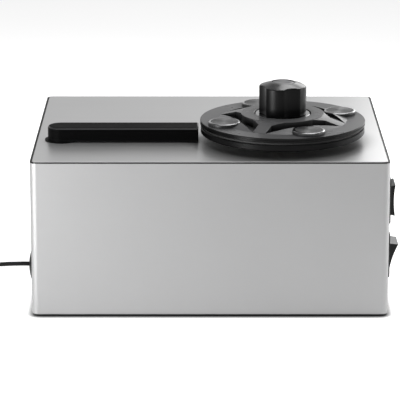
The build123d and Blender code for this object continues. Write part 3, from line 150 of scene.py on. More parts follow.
def moulded(name, colour, rough, grain=2200.0, bump=0.12, drift=0.12, specular=0.5):
    """Moulded plastic or rubber: a fine spark-eroded grain in its relief, and a slow drift in its shine and
    colour."""
    material, tree, shader, link = shader_tree(name)
    shader.inputs["Specular IOR Level"].default_value = specular
    place = tree.nodes.new("ShaderNodeTexCoord")
    fine = tree.nodes.new("ShaderNodeTexNoise")
    fine.inputs["Scale"].default_value = grain
    fine.inputs["Detail"].default_value = 3.0
    slow = tree.nodes.new("ShaderNodeTexNoise")
    slow.inputs["Scale"].default_value = 38.0
    slow.inputs["Detail"].default_value = 2.0
    tint = tree.nodes.new("ShaderNodeMix")
    tint.data_type = "RGBA"
    tint.inputs[MIX_A].default_value = [c * (1 - drift) for c in colour] + [1]
    tint.inputs[MIX_B].default_value = [min(1.0, c * (1 + drift)) for c in colour] + [1]
    shine = tree.nodes.new("ShaderNodeMapRange")
    shine.inputs["To Min"].default_value = rough * 0.85
    shine.inputs["To Max"].default_value = min(1.0, rough * 1.15)
    relief = tree.nodes.new("ShaderNodeBump")
    relief.inputs["Strength"].default_value = bump
    relief.inputs["Distance"].default_value = PLASTIC_GRAIN_DEPTH
    link(place.outputs["Object"], fine.inputs["Vector"])
    link(place.outputs["Object"], slow.inputs["Vector"])
    link(slow.outputs["Fac"], tint.inputs[0])
    link(tint.outputs[MIX_COLOUR], shader.inputs["Base Color"])
    link(slow.outputs["Fac"], shine.inputs["Value"])
    link(shine.outputs["Result"], shader.inputs["Roughness"])
    link(fine.outputs["Fac"], relief.inputs["Height"])
    link(relief.outputs["Normal"], shader.inputs["Normal"])
    return material


cord_vinyl = moulded("cord_vinyl", (0.004, 0.004, 0.0042), 0.42, grain=900.0, bump=0.08, specular=0.15)
gland_up = GLAND_Z / MM
gland_start = from_gland((10.0, 0, gland_up), (-22.0, 0.3, gland_up + 0.9), (-48.0, 1.0, gland_up - 5.0))
down_to_coil = from_gland((-70.0, 2.0, gland_up - 21.0), (-97.0, 5.0, 1.7), (-118.0, 10.6, 1.5))
tail = from_coil((-25.0, -20.8, 8.5), (-50.0, -14.0, 2.5), (-70.0, 2.0, 3.9), (-80.0, 24.0, 5.0))
top_turn = from_coil((0, -COIL_TURN_R / MM, (CORD_R + 3 * COIL_STEP) / MM))
cord = soft_line("cord", gland_start + down_to_coil + coil_turns() + top_turn + tail, CORD_R)
cord.data.materials.append(cord_vinyl)
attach(cord, "case")
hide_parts("power_cord", "cord_coil", "cord_tail")


# ------------------------------------------------------------------ cord plug and coil tie
# The lead ends in a moulded barrel plug with a ribbed, tapered relief and a hollow plated contact. A
# flat rubber strap, pulled round the coil's section, keeps the turns together.
PLUG_PATH = ((-70.0, 2.0), (-80.0, 24.0))
PLUG_R = 5.0
RELIEF_L = 12.0
PLUG_L = 26.0
PIN_L = 9.5
TIE_W = 3.2 * MM
TIE_T = 0.7 * MM
TIE_SIDE = 40.0
TIE_LIFT = 0.05 * MM
SAME_POINT = 0.0002 * MM
METAL_GRAIN_DEPTH = 0.05 * MM


def quads(rows, columns, round_rows=False, round_columns=True):
    """Faces between neighbouring points of a grid; in a round direction the last line joins the first."""
    row = np.arange(rows if round_rows else rows - 1)
    column = np.arange(columns if round_columns else columns - 1)
    row, column = [part.ravel() for part in np.meshgrid(row, column, indexing="ij")]
    after, beside = (row + 1) % rows, (column + 1) % columns
    near, far = row * columns, after * columns
    return np.stack([near + column, near + beside, far + beside, far + column], axis=1)


def skin(name, points, faces, materials, body, crease=32.0, marks=None):
    """Closed smooth mesh of numpy points in metres, its coincident points merged and its faces turned
    outwards. Creases sharper than the given angle stay sharp; marks gives each face its material's number.
    The piece's own map runs round the grid's columns and along its rows, one millimetre for each point."""
    rows, columns = points.shape[:2]
    mesh = bpy.data.meshes.new(name)
    mesh.from_pydata(points.reshape(-1, 3).tolist(), [], faces.tolist())
    for material in materials:
        mesh.materials.append(material)
    if marks is not None:
        mesh.polygons.foreach_set("material_index", np.asarray(marks, np.int32))
    first = faces[:, :1]
    across = (faces % columns - first % columns) % columns
    along = (faces // columns - first // columns) % rows
    places = np.stack([first % columns + across, first // columns + along], axis=2)
    own_map = mesh.uv_layers.new(name="own_map")
    own_map.data.foreach_set("uv", (places * MM).astype(np.float32).ravel())
    work = bmesh.new()
    work.from_mesh(mesh)
    bmesh.ops.remove_doubles(work, verts=work.verts, dist=SAME_POINT)
    bmesh.ops.recalc_face_normals(work, faces=work.faces)
    work.to_mesh(mesh)
    work.free()
    mesh.polygons.foreach_set("use_smooth", np.ones(len(mesh.polygons), bool))
    mesh.set_sharp_from_angle(angle=math.radians(crease))
    made = bpy.data.objects.new(name, mesh)
    bpy.context.scene.collection.objects.link(made)
    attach(made, body)
    return made


def turned(profile, steps=96):
    """Surface of revolution: each (radius, height) pair of the profile swept round the upright axis, in mm."""
    radius, height = np.array(profile, float).T
    angle = np.arange(steps) * 2 * np.pi / steps
    x = radius[:, None] * np.cos(angle)
    y = radius[:, None] * np.sin(angle)
    return np.stack([x, y, np.repeat(height[:, None], steps, axis=1)], axis=2), quads(len(profile), steps)


def laid_along(points, start, way):
    """Turns a shape's upright axis to a level direction and moves its foot to a place, both as given."""
    way = np.array(way, float) / np.linalg.norm(way)
    side = np.array([-way[1], way[0], 0.0])
    up = np.array([0.0, 0.0, 1.0])
    return np.array(start) + MM * (points[..., 2:3] * way + points[..., 0:1] * side + points[..., 1:2] * up)


plug_rubber = moulded("plug_rubber", (0.007, 0.007, 0.0073), 0.4, specular=0.2)
rib = [(2.2 + 1.3 * k / 12 + (0.0 if k % 2 else -0.45), 0.5 + RELIEF_L * k / 12) for k in range(12)]
plug_end = RELIEF_L + PLUG_L
plug_profile = [(0, 0), (1.9, 0)] + rib + [
    (PLUG_R - 0.3, RELIEF_L + 0.9), (PLUG_R, RELIEF_L + 1.5), (PLUG_R, RELIEF_L + 6),
    (PLUG_R - 0.25, RELIEF_L + 6.4), (PLUG_R - 0.25, RELIEF_L + 7.2), (PLUG_R, RELIEF_L + 7.6),
    (PLUG_R, plug_end - 0.9), (PLUG_R - 0.9, plug_end), (0, plug_end),
]
plug_way = (PLUG_PATH[1][0] - PLUG_PATH[0][0], PLUG_PATH[1][1] - PLUG_PATH[0][1], 0)
plug_foot = (COIL_X + PLUG_PATH[1][0] * MM, COIL_Y + PLUG_PATH[1][1] * MM, PLUG_R * MM)
plug_points, plug_faces = turned(plug_profile, 48)
plug = skin("barrel_plug", laid_along(plug_points, plug_foot, plug_way), plug_faces, [plug_rubber], "case")
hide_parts("cord_plug")


def metal(name, colour, rough, grain=(400, 400, 400), bump=0.05, drift=0.06, metallic=1.0, smudge=0.12,
          specular=0.5):
    """Machined, plated or painted metal: a stretched grain in its relief and shine, and slow smudges where
    hands touch it."""
    material, tree, shader, link = shader_tree(name)
    shader.inputs["Metallic"].default_value = metallic
    shader.inputs["Specular IOR Level"].default_value = specular
    place = tree.nodes.new("ShaderNodeTexCoord")
    stretch = tree.nodes.new("ShaderNodeMapping")
    stretch.inputs["Scale"].default_value = grain
    fine = tree.nodes.new("ShaderNodeTexNoise")
    fine.inputs["Scale"].default_value = 1.0
    fine.inputs["Detail"].default_value = 5.0
    slow = tree.nodes.new("ShaderNodeTexNoise")
    slow.inputs["Scale"].default_value = 26.0
    slow.inputs["Detail"].default_value = 4.0
    tint = tree.nodes.new("ShaderNodeMix")
    tint.data_type = "RGBA"
    tint.inputs[MIX_A].default_value = [c * (1 - drift) for c in colour] + [1]
    tint.inputs[MIX_B].default_value = [min(1.0, c * (1 + drift)) for c in colour] + [1]
    mixed = tree.nodes.new("ShaderNodeMath")
    mixed.operation = "MULTIPLY_ADD"
    mixed.inputs[1].default_value = 0.5
    shine = tree.nodes.new("ShaderNodeMapRange")
    shine.inputs["From Min"].default_value = 0.4
    shine.inputs["From Max"].default_value = 1.1
    shine.inputs["To Min"].default_value = rough * (1 - smudge)
    shine.inputs["To Max"].default_value = min(1.0, rough * (1 + smudge))
    relief = tree.nodes.new("ShaderNodeBump")
    relief.inputs["Strength"].default_value = bump
    relief.inputs["Distance"].default_value = METAL_GRAIN_DEPTH
    link(place.outputs["Object"], stretch.inputs["Vector"])
    link(stretch.outputs["Vector"], fine.inputs["Vector"])
    link(place.outputs["Object"], slow.inputs["Vector"])
    link(fine.outputs["Fac"], tint.inputs[0])
    link(tint.outputs[MIX_COLOUR], shader.inputs["Base Color"])
    link(fine.outputs["Fac"], mixed.inputs[0])
    link(slow.outputs["Fac"], mixed.inputs[2])
    link(mixed.outputs[0], shine.inputs["Value"])
    link(shine.outputs["Result"], shader.inputs["Roughness"])
    link(fine.outputs["Fac"], relief.inputs["Height"])
    link(relief.outputs["Normal"], shader.inputs["Normal"])
    return material


nickel = metal("nickel", (0.62, 0.61, 0.58), 0.2, grain=(300, 300, 1500))
pin_profile = [(0, 0), (2.75, 0), (2.75, PIN_L - 0.4), (2.35, PIN_L), (1.05, PIN_L), (1.05, 1.0), (0, 1.0)]
pin_points, pin_faces = turned(pin_profile, 40)
pin_foot = np.array(plug_foot) + plug_end * MM * np.array(plug_way) / np.linalg.norm(plug_way)
plug_pin = skin("plug_contact", laid_along(pin_points, pin_foot, plug_way), pin_faces, [nickel], "case")


def strap(count=40, round_steps=4):
    """Flat strap round the coil's section: a superellipse for its path, in the upright plane through the
    coil's axis and one side, and its own thin rectangle carried along it."""
    turn = np.arange(count) * 2 * np.pi / count
    half_out = (COIL_HIGH[0] - COIL_LOW[0]) / 2 - (COIL_TURN_R - 1.9 * COIL_STEP) + CORD_R
    middle = COIL_TURN_R + CORD_R - half_out / 2
    half_up = COIL_HIGH[2] / 2
    shape = 0.28
    out = np.sign(np.cos(turn)) * np.abs(np.cos(turn)) ** shape
    up = np.sign(np.sin(turn)) * np.abs(np.sin(turn)) ** shape
    across = []
    for side, lift in ((-1, 0.0), (1, 0.0), (1, 1.0), (-1, 1.0)):
        grow = lift * TIE_T
        reach = middle + out * (half_out / 2 + grow)
        height = np.maximum(half_up + up * (half_up + grow), TIE_LIFT)
        across.append(np.stack([reach, np.full(count, side * TIE_W / 2), height], axis=1))
    ring = np.stack(across, axis=1)
    angle = math.radians(TIE_SIDE)
    x = COIL_X + ring[..., 0] * math.cos(angle) - ring[..., 1] * math.sin(angle)
    y = COIL_Y + ring[..., 0] * math.sin(angle) + ring[..., 1] * math.cos(angle)
    return np.stack([x, y, ring[..., 2]], axis=2), quads(count, round_steps, round_rows=True)


tie_points, tie_faces = strap()
tie = skin("coil_strap", tie_points, tie_faces, [plug_rubber], "case")


# ------------------------------------------------------------------ table and lamps
# A white studio table under a wide soft lamp. Two lamps stand behind on the right, one low and one high,
# a small one stands near the front left corner, and a weak one lights the wall with the switches.
FLOOR_REACH = 6.0
FLOOR_GLOW = 0.62
ROOM_LIGHT = 0.2
ROOM_GREY = 0.3
# Reach, depth and tone of the contact shadow painted on the floor.
CONTACT_REACH = 5.5 * MM
CONTACT_DEPTH = 2.5
CONTACT_SHADOW_TONE = 0.05
TABLE_TONE = 0.9
HIGH_GREY, LOW_WHITE = 0.7, 0.35
FRONT_GREY, BACK_WHITE = -0.7, 0.1


def white_stage():
    """White matt surface. It shows white to the camera and in reflections, and a painted contact shadow darkens
    it where something stands within a few millimetres of it, by a power of the share of the sky that is open
    there."""
    material, tree, shader, link = shader_tree("white_stage")
    tree.nodes.remove(shader)
    out = tree.nodes["Material Output"]
    open_sky = tree.nodes.new("ShaderNodeAmbientOcclusion")
    open_sky.samples = 16
    open_sky.inputs["Distance"].default_value = CONTACT_REACH
    deeper = tree.nodes.new("ShaderNodeMath")
    deeper.operation = "POWER"
    deeper.inputs[1].default_value = CONTACT_DEPTH
    diffuse = tree.nodes.new("ShaderNodeBsdfDiffuse")
    paint = tree.nodes.new("ShaderNodeMix")
    paint.data_type = "RGBA"
    paint.inputs[MIX_A].default_value = (CONTACT_SHADOW_TONE, CONTACT_SHADOW_TONE, CONTACT_SHADOW_TONE, 1)
    paint.inputs[MIX_B].default_value = (TABLE_TONE, TABLE_TONE, TABLE_TONE, 1)
    glow = tree.nodes.new("ShaderNodeEmission")
    path = tree.nodes.new("ShaderNodeLightPath")
    either = tree.nodes.new("ShaderNodeMath")
    either.operation = "MAXIMUM"
    seen = tree.nodes.new("ShaderNodeMath")
    seen.operation = "MULTIPLY"
    strength = tree.nodes.new("ShaderNodeMath")
    strength.operation = "MULTIPLY"
    strength.inputs[1].default_value = FLOOR_GLOW
    both = tree.nodes.new("ShaderNodeAddShader")
    link(path.outputs["Is Camera Ray"], either.inputs[0])
    link(path.outputs["Is Glossy Ray"], either.inputs[1])
    link(either.outputs[0], seen.inputs[0])
    link(open_sky.outputs["AO"], deeper.inputs[0])
    link(deeper.outputs[0], seen.inputs[1])
    link(seen.outputs[0], strength.inputs[0])
    link(strength.outputs[0], glow.inputs["Strength"])
    link(deeper.outputs[0], paint.inputs[0])
    link(paint.outputs[MIX_COLOUR], diffuse.inputs["Color"])
    link(diffuse.outputs[0], both.inputs[0])
    link(glow.outputs[0], both.inputs[1])
    link(both.outputs[0], out.inputs["Surface"])
    return material


floor_mesh = bpy.data.meshes.new("floor")
floor_corners = np.array([(-1, -1, 0), (1, -1, 0), (1, 1, 0), (-1, 1, 0)]) * FLOOR_REACH
floor_mesh.from_pydata(floor_corners.tolist(), [], [(0, 1, 2, 3)])
floor_mesh.materials.append(white_stage())
floor = bpy.data.objects.new("floor", floor_mesh)
bpy.context.scene.collection.objects.link(floor)


def studio_room():
    """World that is plain white to the camera. Reflections see it white low down and behind, and grey in
    front and high up, as round a table with a white backdrop; it lights matt surfaces evenly and weakly."""
    world = bpy.data.worlds.new("studio")
    bpy.context.scene.world = world
    world.use_nodes = True
    tree = world.node_tree
    tree.nodes.clear()
    link = tree.links.new
    out = tree.nodes.new("ShaderNodeOutputWorld")
    even = tree.nodes.new("ShaderNodeBackground")
    mirrored = tree.nodes.new("ShaderNodeBackground")
    seen = tree.nodes.new("ShaderNodeBackground")
    even.inputs["Color"].default_value = (1, 1, 1, 1)
    even.inputs["Strength"].default_value = ROOM_LIGHT
    seen.inputs["Color"].default_value = (1, 1, 1, 1)
    path = tree.nodes.new("ShaderNodeLightPath")
    way = tree.nodes.new("ShaderNodeTexCoord")
    split = tree.nodes.new("ShaderNodeSeparateXYZ")
    low = tree.nodes.new("ShaderNodeMapRange")
    low.interpolation_type = "SMOOTHSTEP"
    low.inputs["From Min"].default_value = HIGH_GREY
    low.inputs["From Max"].default_value = LOW_WHITE
    behind = tree.nodes.new("ShaderNodeMapRange")
    behind.interpolation_type = "SMOOTHSTEP"
    behind.inputs["From Min"].default_value = FRONT_GREY
    behind.inputs["From Max"].default_value = BACK_WHITE
    both = tree.nodes.new("ShaderNodeMath")
    both.operation = "MULTIPLY"
    level = tree.nodes.new("ShaderNodeMapRange")
    level.inputs["To Min"].default_value = ROOM_GREY
    level.inputs["To Max"].default_value = 1.0
    glossy = tree.nodes.new("ShaderNodeMixShader")
    direct = tree.nodes.new("ShaderNodeMixShader")
    either = tree.nodes.new("ShaderNodeMath")
    either.operation = "MAXIMUM"
    link(way.outputs["Generated"], split.inputs[0])
    link(split.outputs["Z"], low.inputs["Value"])
    link(split.outputs["Y"], behind.inputs["Value"])
    link(low.outputs["Result"], both.inputs[0])
    link(behind.outputs["Result"], both.inputs[1])
    link(both.outputs[0], level.inputs["Value"])
    link(level.outputs["Result"], mirrored.inputs["Strength"])
    link(path.outputs["Is Glossy Ray"], glossy.inputs["Fac"])
    link(even.outputs[0], glossy.inputs[1])
    link(mirrored.outputs[0], glossy.inputs[2])
    link(path.outputs["Is Camera Ray"], either.inputs[0])
    link(path.outputs["Is Transmission Ray"], either.inputs[1])
    link(either.outputs[0], direct.inputs["Fac"])
    link(glossy.outputs[0], direct.inputs[1])
    link(seen.outputs[0], direct.inputs[2])
    link(direct.outputs[0], out.inputs["Surface"])


studio_room()


def soft_box(name, place, aim, width, height, watts):
    """Rectangular area lamp at a place, turned to face a point, its height upright."""
    lamp = bpy.data.lights.new(name, "AREA")
    lamp.shape = "RECTANGLE"
    lamp.size = height
    lamp.size_y = width
    lamp.energy = watts
    holder = bpy.data.objects.new(name, lamp)
    away = np.array(place) - np.array(aim)
    holder.location = place
    holder.rotation_euler = (0, math.atan2(math.hypot(away[0], away[1]), away[2]), math.atan2(away[1], away[0]))
    holder.visible_camera = False
    bpy.context.scene.collection.objects.link(holder)


soft_box("back_right_lamp", place=(0.36, 0.5, 0.3), aim=(0.08, 0, 0.1), width=0.42, height=0.36, watts=1.3)
soft_box("left_lamp", place=(-0.38, -0.38, 0.16), aim=(-0.08, -0.08, 0.08), width=0.16, height=0.3, watts=2.0)
soft_box("back_top_lamp", place=(0.16, 0.42, 0.66), aim=(0.05, -0.04, 0.15), width=0.26, height=0.26, watts=1.1)
soft_box("right_lamp", place=(0.5, -0.02, 0.2), aim=(0.12, -0.06, 0.06), width=0.3, height=0.3, watts=1.0)
soft_box("top_lamp", place=(0.05, -0.3, 1.2), aim=(0.0, 0.0, 0.1), width=1.1, height=1.1, watts=6.5)


# ------------------------------------------------------------------ base, feet and corner blocks
# A powder-coated steel plate closes the case from below and steps out under the side sheet as a black
# plinth. Four rubber feet are let into it, and screws run up through it into aluminium corner blocks.
def dress(material, *nodes):
    """Gives pieces of the frame their finish."""
    for node in nodes:
        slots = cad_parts[node].data.materials
        slots.clear()
        slots.append(material)


powder_black = moulded("powder_black", (0.022, 0.022, 0.023), 0.5, grain=1400.0, bump=0.3)
foot_rubber = moulded("foot_rubber", (0.03, 0.03, 0.03), 0.75, grain=1200.0, bump=0.4)
cast_aluminium = metal("cast_aluminium", (0.66, 0.66, 0.67), 0.38, grain=(1500, 60, 60))
dress(powder_black, "base_plate")
dress(foot_rubber, "feet", "blower_legs")
dress(cast_aluminium, "corner_blocks")
zinc_screw = metal("zinc_screw", (0.5, 0.5, 0.51), 0.3, grain=(700, 700, 700), smudge=0.25)
dress(zinc_screw, "case_screws", "drive_screws", "platter_screws", "flange_nuts", "spindle_clip")


# ------------------------------------------------------------------ waste tank and drain
# The tank is a blow-moulded natural polythene box with a screwed lid and a rubber gasket. A drain pipe
# runs from its foot through the rear wall and is closed by a push-on rubber cap.
milky = moulded("milky_polythene", (0.74, 0.74, 0.7), 0.4, grain=600.0, bump=0.15, drift=0.04)
soft_black = moulded("soft_black_rubber", (0.024, 0.024, 0.024), 0.62, grain=1500.0, bump=0.3)
black_plastic = moulded("black_plastic", (0.018, 0.018, 0.019), 0.36)
dress(milky, "waste_tank", "tank_lid", "board_spacers")
dress(soft_black, "tank_gasket", "inlet_hose", "blower_hose", "drain_cap", "clamp_seal")
dress(black_plastic, "drain_spout", "blower_housing", "arm_socket", "swivel_sleeve", "gland_nut",
      "exhaust_grille")


# ------------------------------------------------------------------ blower and platter motor
# Both motors are plated steel cans. The fan wheel and the large platter gear are moulded in white
# acetal, the pinion, the bearing and the lower bush are turned from brass.
plated_can = metal("plated_can", (0.52, 0.52, 0.51), 0.3, grain=(120, 120, 1400))
sheet_steel = metal("sheet_steel", (0.55, 0.56, 0.57), 0.36, grain=(900, 90, 900))
ground_steel = metal("ground_steel", (0.6, 0.6, 0.61), 0.2, grain=(150, 150, 2500))
turned_brass = metal("turned_brass", (0.72, 0.52, 0.24), 0.26, grain=(200, 200, 2200))
acetal = moulded("white_acetal", (0.78, 0.77, 0.72), 0.35, grain=500.0, bump=0.08, drift=0.03)
dress(plated_can, "drive_motor", "blower_motor")
dress(sheet_steel, "drive_bracket", "bracket_pillars")
dress(ground_steel, "spindle", "motor_shaft", "arm_pipe")
dress(turned_brass, "spindle_bearing", "lower_bush", "motor_pinion", "knob_insert")
dress(acetal, "driven_gear", "blower_impeller")


# ------------------------------------------------------------------ control board
# A coated glass-fibre board on four spacers, with a can capacitor, a relay, a terminal strip and an
# upright heat sink soldered to it. Everything above the board's face is dark.
BOARD_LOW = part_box("control_board")[0]
BOARD_T = 1.7


def board_finish():
    """Green lacquer up to the board's face, with copper tracks showing through as a lighter green brick
    pattern, and dark moulded components above it."""
    material, tree, shader, link = shader_tree("board_finish")
    place = tree.nodes.new("ShaderNodeTexCoord")
    split = tree.nodes.new("ShaderNodeSeparateXYZ")
    tracks = tree.nodes.new("ShaderNodeTexBrick")
    tracks.inputs["Scale"].default_value = 180.0
    tracks.inputs["Color1"].default_value = (0.012, 0.1, 0.035, 1)
    tracks.inputs["Color2"].default_value = (0.016, 0.12, 0.045, 1)
    tracks.inputs["Mortar"].default_value = (0.05, 0.25, 0.09, 1)
    tracks.inputs["Mortar Size"].default_value = 0.06
    above = tree.nodes.new("ShaderNodeMath")
    above.operation = "GREATER_THAN"
    above.inputs[1].default_value = BOARD_LOW[2] + BOARD_T * MM
    pick = tree.nodes.new("ShaderNodeMix")
    pick.data_type = "RGBA"
    pick.inputs[MIX_B].default_value = (0.03, 0.032, 0.036, 1)
    shader.inputs["Roughness"].default_value = 0.35
    link(place.outputs["Object"], split.inputs[0])
    link(place.outputs["Object"], tracks.inputs["Vector"])
    link(split.outputs["Z"], above.inputs[0])
    link(above.outputs[0], pick.inputs[0])
    link(tracks.outputs["Color"], pick.inputs[MIX_A])
    link(pick.outputs[MIX_COLOUR], shader.inputs["Base Color"])
    return material


dress(board_finish(), "control_board")


# ------------------------------------------------------------------ side sheet and top plate
# One aluminium sheet folded round four corners makes the walls, and a flat plate closes the top. Both
# are blasted to a fine grain and anodised silver. A black strip caps the sheet's edge between them.
SHEET_SILVER = (0.38, 0.38, 0.382)
SHEET_METALLIC = 0.75
BLAST_GRAIN = 1600.0
SEAL_LINE = 0.55 * MM
PLATTER_LOW, PLATTER_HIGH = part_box("platter")
PLATTER_MIDDLE = [(low + high) / 2 for low, high in zip(PLATTER_LOW[:2], PLATTER_HIGH[:2])]
# Reach and fade of the shade painted on the top plate under and round the platter.
PLATTER_SHADE = 14 * MM
SHADE_FADES = (60 * MM, 72 * MM)        # full up to the first distance from the platter's middle
anodised_sheet = metal("anodised_sheet", SHEET_SILVER, 0.45, grain=(BLAST_GRAIN,) * 3, bump=0.1, drift=0.02,
                       metallic=SHEET_METALLIC, smudge=0.06)
# The top plate has the sheet's anodised silver painted lighter, because the top catches more of the lamps'
# light. Painted shade under the platter is added to it below.
anodised_plate_painted_light_and_shade = metal("anodised_plate_painted_light_and_shade", (0.52, 0.52, 0.522), 0.36, grain=(BLAST_GRAIN,) * 3, bump=0.1,
                       drift=0.02, metallic=0.7, smudge=0.06)


def rolled_edge():
    """Black strip above a height just below the plate's face, and the sheet's silver edge below that height."""
    material, tree, shader, link = shader_tree("rolled_edge")
    shader.inputs["Roughness"].default_value = 0.42
    shader.inputs["Specular IOR Level"].default_value = 0.08
    place = tree.nodes.new("ShaderNodeTexCoord")
    split = tree.nodes.new("ShaderNodeSeparateXYZ")
    line = tree.nodes.new("ShaderNodeMath")
    line.operation = "GREATER_THAN"
    line.inputs[1].default_value = PLATE_Z - SEAL_LINE
    tone = tree.nodes.new("ShaderNodeMix")
    tone.data_type = "RGBA"
    tone.inputs[MIX_A].default_value = (*SHEET_SILVER, 1)
    tone.inputs[MIX_B].default_value = (0.004, 0.004, 0.0042, 1)
    shell = tree.nodes.new("ShaderNodeMapRange")
    shell.inputs["To Min"].default_value = SHEET_METALLIC
    shell.inputs["To Max"].default_value = 0.0
    grain = tree.nodes.new("ShaderNodeTexNoise")
    grain.inputs["Scale"].default_value = BLAST_GRAIN
    relief = tree.nodes.new("ShaderNodeBump")
    relief.inputs["Strength"].default_value = 0.1
    relief.inputs["Distance"].default_value = METAL_GRAIN_DEPTH
    link(place.outputs["Object"], split.inputs[0])
    link(split.outputs["Z"], line.inputs[0])
    link(line.outputs[0], tone.inputs[0])
    link(line.outputs[0], shell.inputs["Value"])
    link(tone.outputs[MIX_COLOUR], shader.inputs["Base Color"])
    link(shell.outputs["Result"], shader.inputs["Metallic"])
    link(place.outputs["Object"], grain.inputs["Vector"])
    link(grain.outputs["Fac"], relief.inputs["Height"])
    link(relief.outputs["Normal"], shader.inputs["Normal"])
    return material


def from_axis(tree, middle):
    """Socket with the level distance from the upright line through a point."""
    place = tree.nodes.new("ShaderNodeTexCoord")
    centre = tree.nodes.new("ShaderNodeMapping")
    centre.inputs["Location"].default_value = (-middle[0], -middle[1], 0)
    flat = tree.nodes.new("ShaderNodeVectorMath")
    flat.operation = "MULTIPLY"
    flat.inputs[1].default_value = (1, 1, 0)
    away = tree.nodes.new("ShaderNodeVectorMath")
    away.operation = "LENGTH"
    tree.links.new(place.outputs["Object"], centre.inputs["Vector"])
    tree.links.new(centre.outputs["Vector"], flat.inputs[0])
    tree.links.new(flat.outputs["Vector"], away.inputs[0])
    return away.outputs["Value"]


def painted_shade_near(material, reach, depth, middle=None, fade=None):
    """Paints shade into a finish where a black piece or a wall stands close to it. This painted shade also
    stands in for the dark reflection of that piece. The colour is multiplied by a power of the share of the sky
    that is open within the reach. With a middle given, this fades out between two distances from the upright
    line through it."""
    tree = material.node_tree
    shader = tree.nodes["Principled BSDF"]
    open_sky = tree.nodes.new("ShaderNodeAmbientOcclusion")
    open_sky.samples = 16
    open_sky.inputs["Distance"].default_value = reach
    deeper = tree.nodes.new("ShaderNodeMath")
    deeper.operation = "POWER"
    deeper.inputs[1].default_value = depth
    shaded = tree.nodes.new("ShaderNodeMix")
    shaded.data_type = "RGBA"
    shaded.blend_type = "MULTIPLY"
    shaded.inputs[0].default_value = 1.0
    if middle is not None:
        near = tree.nodes.new("ShaderNodeMapRange")
        near.inputs["From Min"].default_value = fade[0]
        near.inputs["From Max"].default_value = fade[1]
        near.inputs["To Min"].default_value = 1.0
        near.inputs["To Max"].default_value = 0.0
        tree.links.new(from_axis(tree, middle), near.inputs["Value"])
        tree.links.new(near.outputs["Result"], shaded.inputs[0])
    tree.links.new(open_sky.outputs["AO"], deeper.inputs[0])
    tree.links.new(shader.inputs["Base Color"].links[0].from_socket, shaded.inputs[MIX_A])
    tree.links.new(deeper.outputs[0], shaded.inputs[MIX_B])
    tree.links.new(shaded.outputs[MIX_COLOUR], shader.inputs["Base Color"])


# Painted shade and painted dark reflection on the top plate under the platter, fading out away from the
# platter's middle.
painted_shade_near(anodised_plate_painted_light_and_shade, PLATTER_SHADE, 1.2, PLATTER_MIDDLE, SHADE_FADES)
dress(anodised_sheet, "case_wrap")
dress(anodised_plate_painted_light_and_shade, "top_plate")
dress(rolled_edge(), "edge_seal")


# ------------------------------------------------------------------ platter and mat
# The small platter is turned from aluminium and anodised black, with a ribbed underside. A thin rubber
# mat with moulded rings lies in its recess.
black_anodised = metal("black_anodised", (0.0025, 0.0025, 0.0026), 0.36, grain=(200, 200, 3000), metallic=0.0,
                       smudge=0.15, specular=0.1)
dress(black_anodised, "platter")
dress(soft_black, "platter_mat")


# ------------------------------------------------------------------ label clamp
# A heavy turned disc in dark grey lacquered metal. Its hub runs down to the rim as four ramps with
# milled pockets between them, and the rim is grooved.
CLAMP_LOW, CLAMP_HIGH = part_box("clamp_disc")
AXIS_X = (CLAMP_LOW[0] + CLAMP_HIGH[0]) / 2
AXIS_Y = (CLAMP_LOW[1] + CLAMP_HIGH[1]) / 2
CLAMP_R = (CLAMP_HIGH[0] - CLAMP_LOW[0]) / 2
# Where the painted shade on the rim's side begins and where it is full, measured in from the clamp's edge.
RIM_SHADE_FROM, RIM_SHADE_FULL = 0.65 * MM, 0.5 * MM        # the rim's black band, measured in from its edge
POCKET_SHADE = 9 * MM


def clamp_lacquer_and_painted_shade():
    """Satin lacquer with fine turned rings in its relief, and a band of painted shade round the rim that keeps
    the rim's side near black, darker than the same lacquer on the top. Rings and band follow the distance from
    the spindle's axis."""
    material, tree, shader, link = shader_tree("clamp_lacquer_and_painted_shade")
    shader.inputs["Specular IOR Level"].default_value = 0.13
    place = tree.nodes.new("ShaderNodeTexCoord")
    away = from_axis(tree, (AXIS_X, AXIS_Y))
    rim = tree.nodes.new("ShaderNodeMapRange")
    rim.inputs["From Min"].default_value = CLAMP_R - RIM_SHADE_FROM
    rim.inputs["From Max"].default_value = CLAMP_R - RIM_SHADE_FULL
    # Lacquer tone on the top, and near black where the rim's side gets painted shade.
    tone = tree.nodes.new("ShaderNodeMix")
    tone.data_type = "RGBA"
    tone.inputs[MIX_A].default_value = (0.092, 0.092, 0.094, 1)
    tone.inputs[MIX_B].default_value = (0.002, 0.002, 0.0021, 1)
    rings = tree.nodes.new("ShaderNodeTexNoise")
    rings.noise_dimensions = "1D"
    rings.inputs["Scale"].default_value = 1500.0
    rings.inputs["Detail"].default_value = 4.0
    cloud = tree.nodes.new("ShaderNodeTexNoise")
    cloud.inputs["Scale"].default_value = 60.0
    shine = tree.nodes.new("ShaderNodeMapRange")
    shine.inputs["To Min"].default_value = 0.24
    shine.inputs["To Max"].default_value = 0.34
    relief = tree.nodes.new("ShaderNodeBump")
    relief.inputs["Strength"].default_value = 0.12
    relief.inputs["Distance"].default_value = METAL_GRAIN_DEPTH
    link(away, rim.inputs["Value"])
    link(rim.outputs["Result"], tone.inputs[0])
    link(tone.outputs[MIX_COLOUR], shader.inputs["Base Color"])
    link(away, rings.inputs["W"])
    link(rings.outputs["Fac"], relief.inputs["Height"])
    link(relief.outputs["Normal"], shader.inputs["Normal"])
    link(place.outputs["Object"], cloud.inputs["Vector"])
    link(cloud.outputs["Fac"], shine.inputs["Value"])
    link(shine.outputs["Result"], shader.inputs["Roughness"])
    return material


lacquer = clamp_lacquer_and_painted_shade()
# Painted shade in the clamp's pockets and round its hub, weights, washer and knob.
painted_shade_near(lacquer, POCKET_SHADE, 3.0)
dress(lacquer, "clamp_disc")


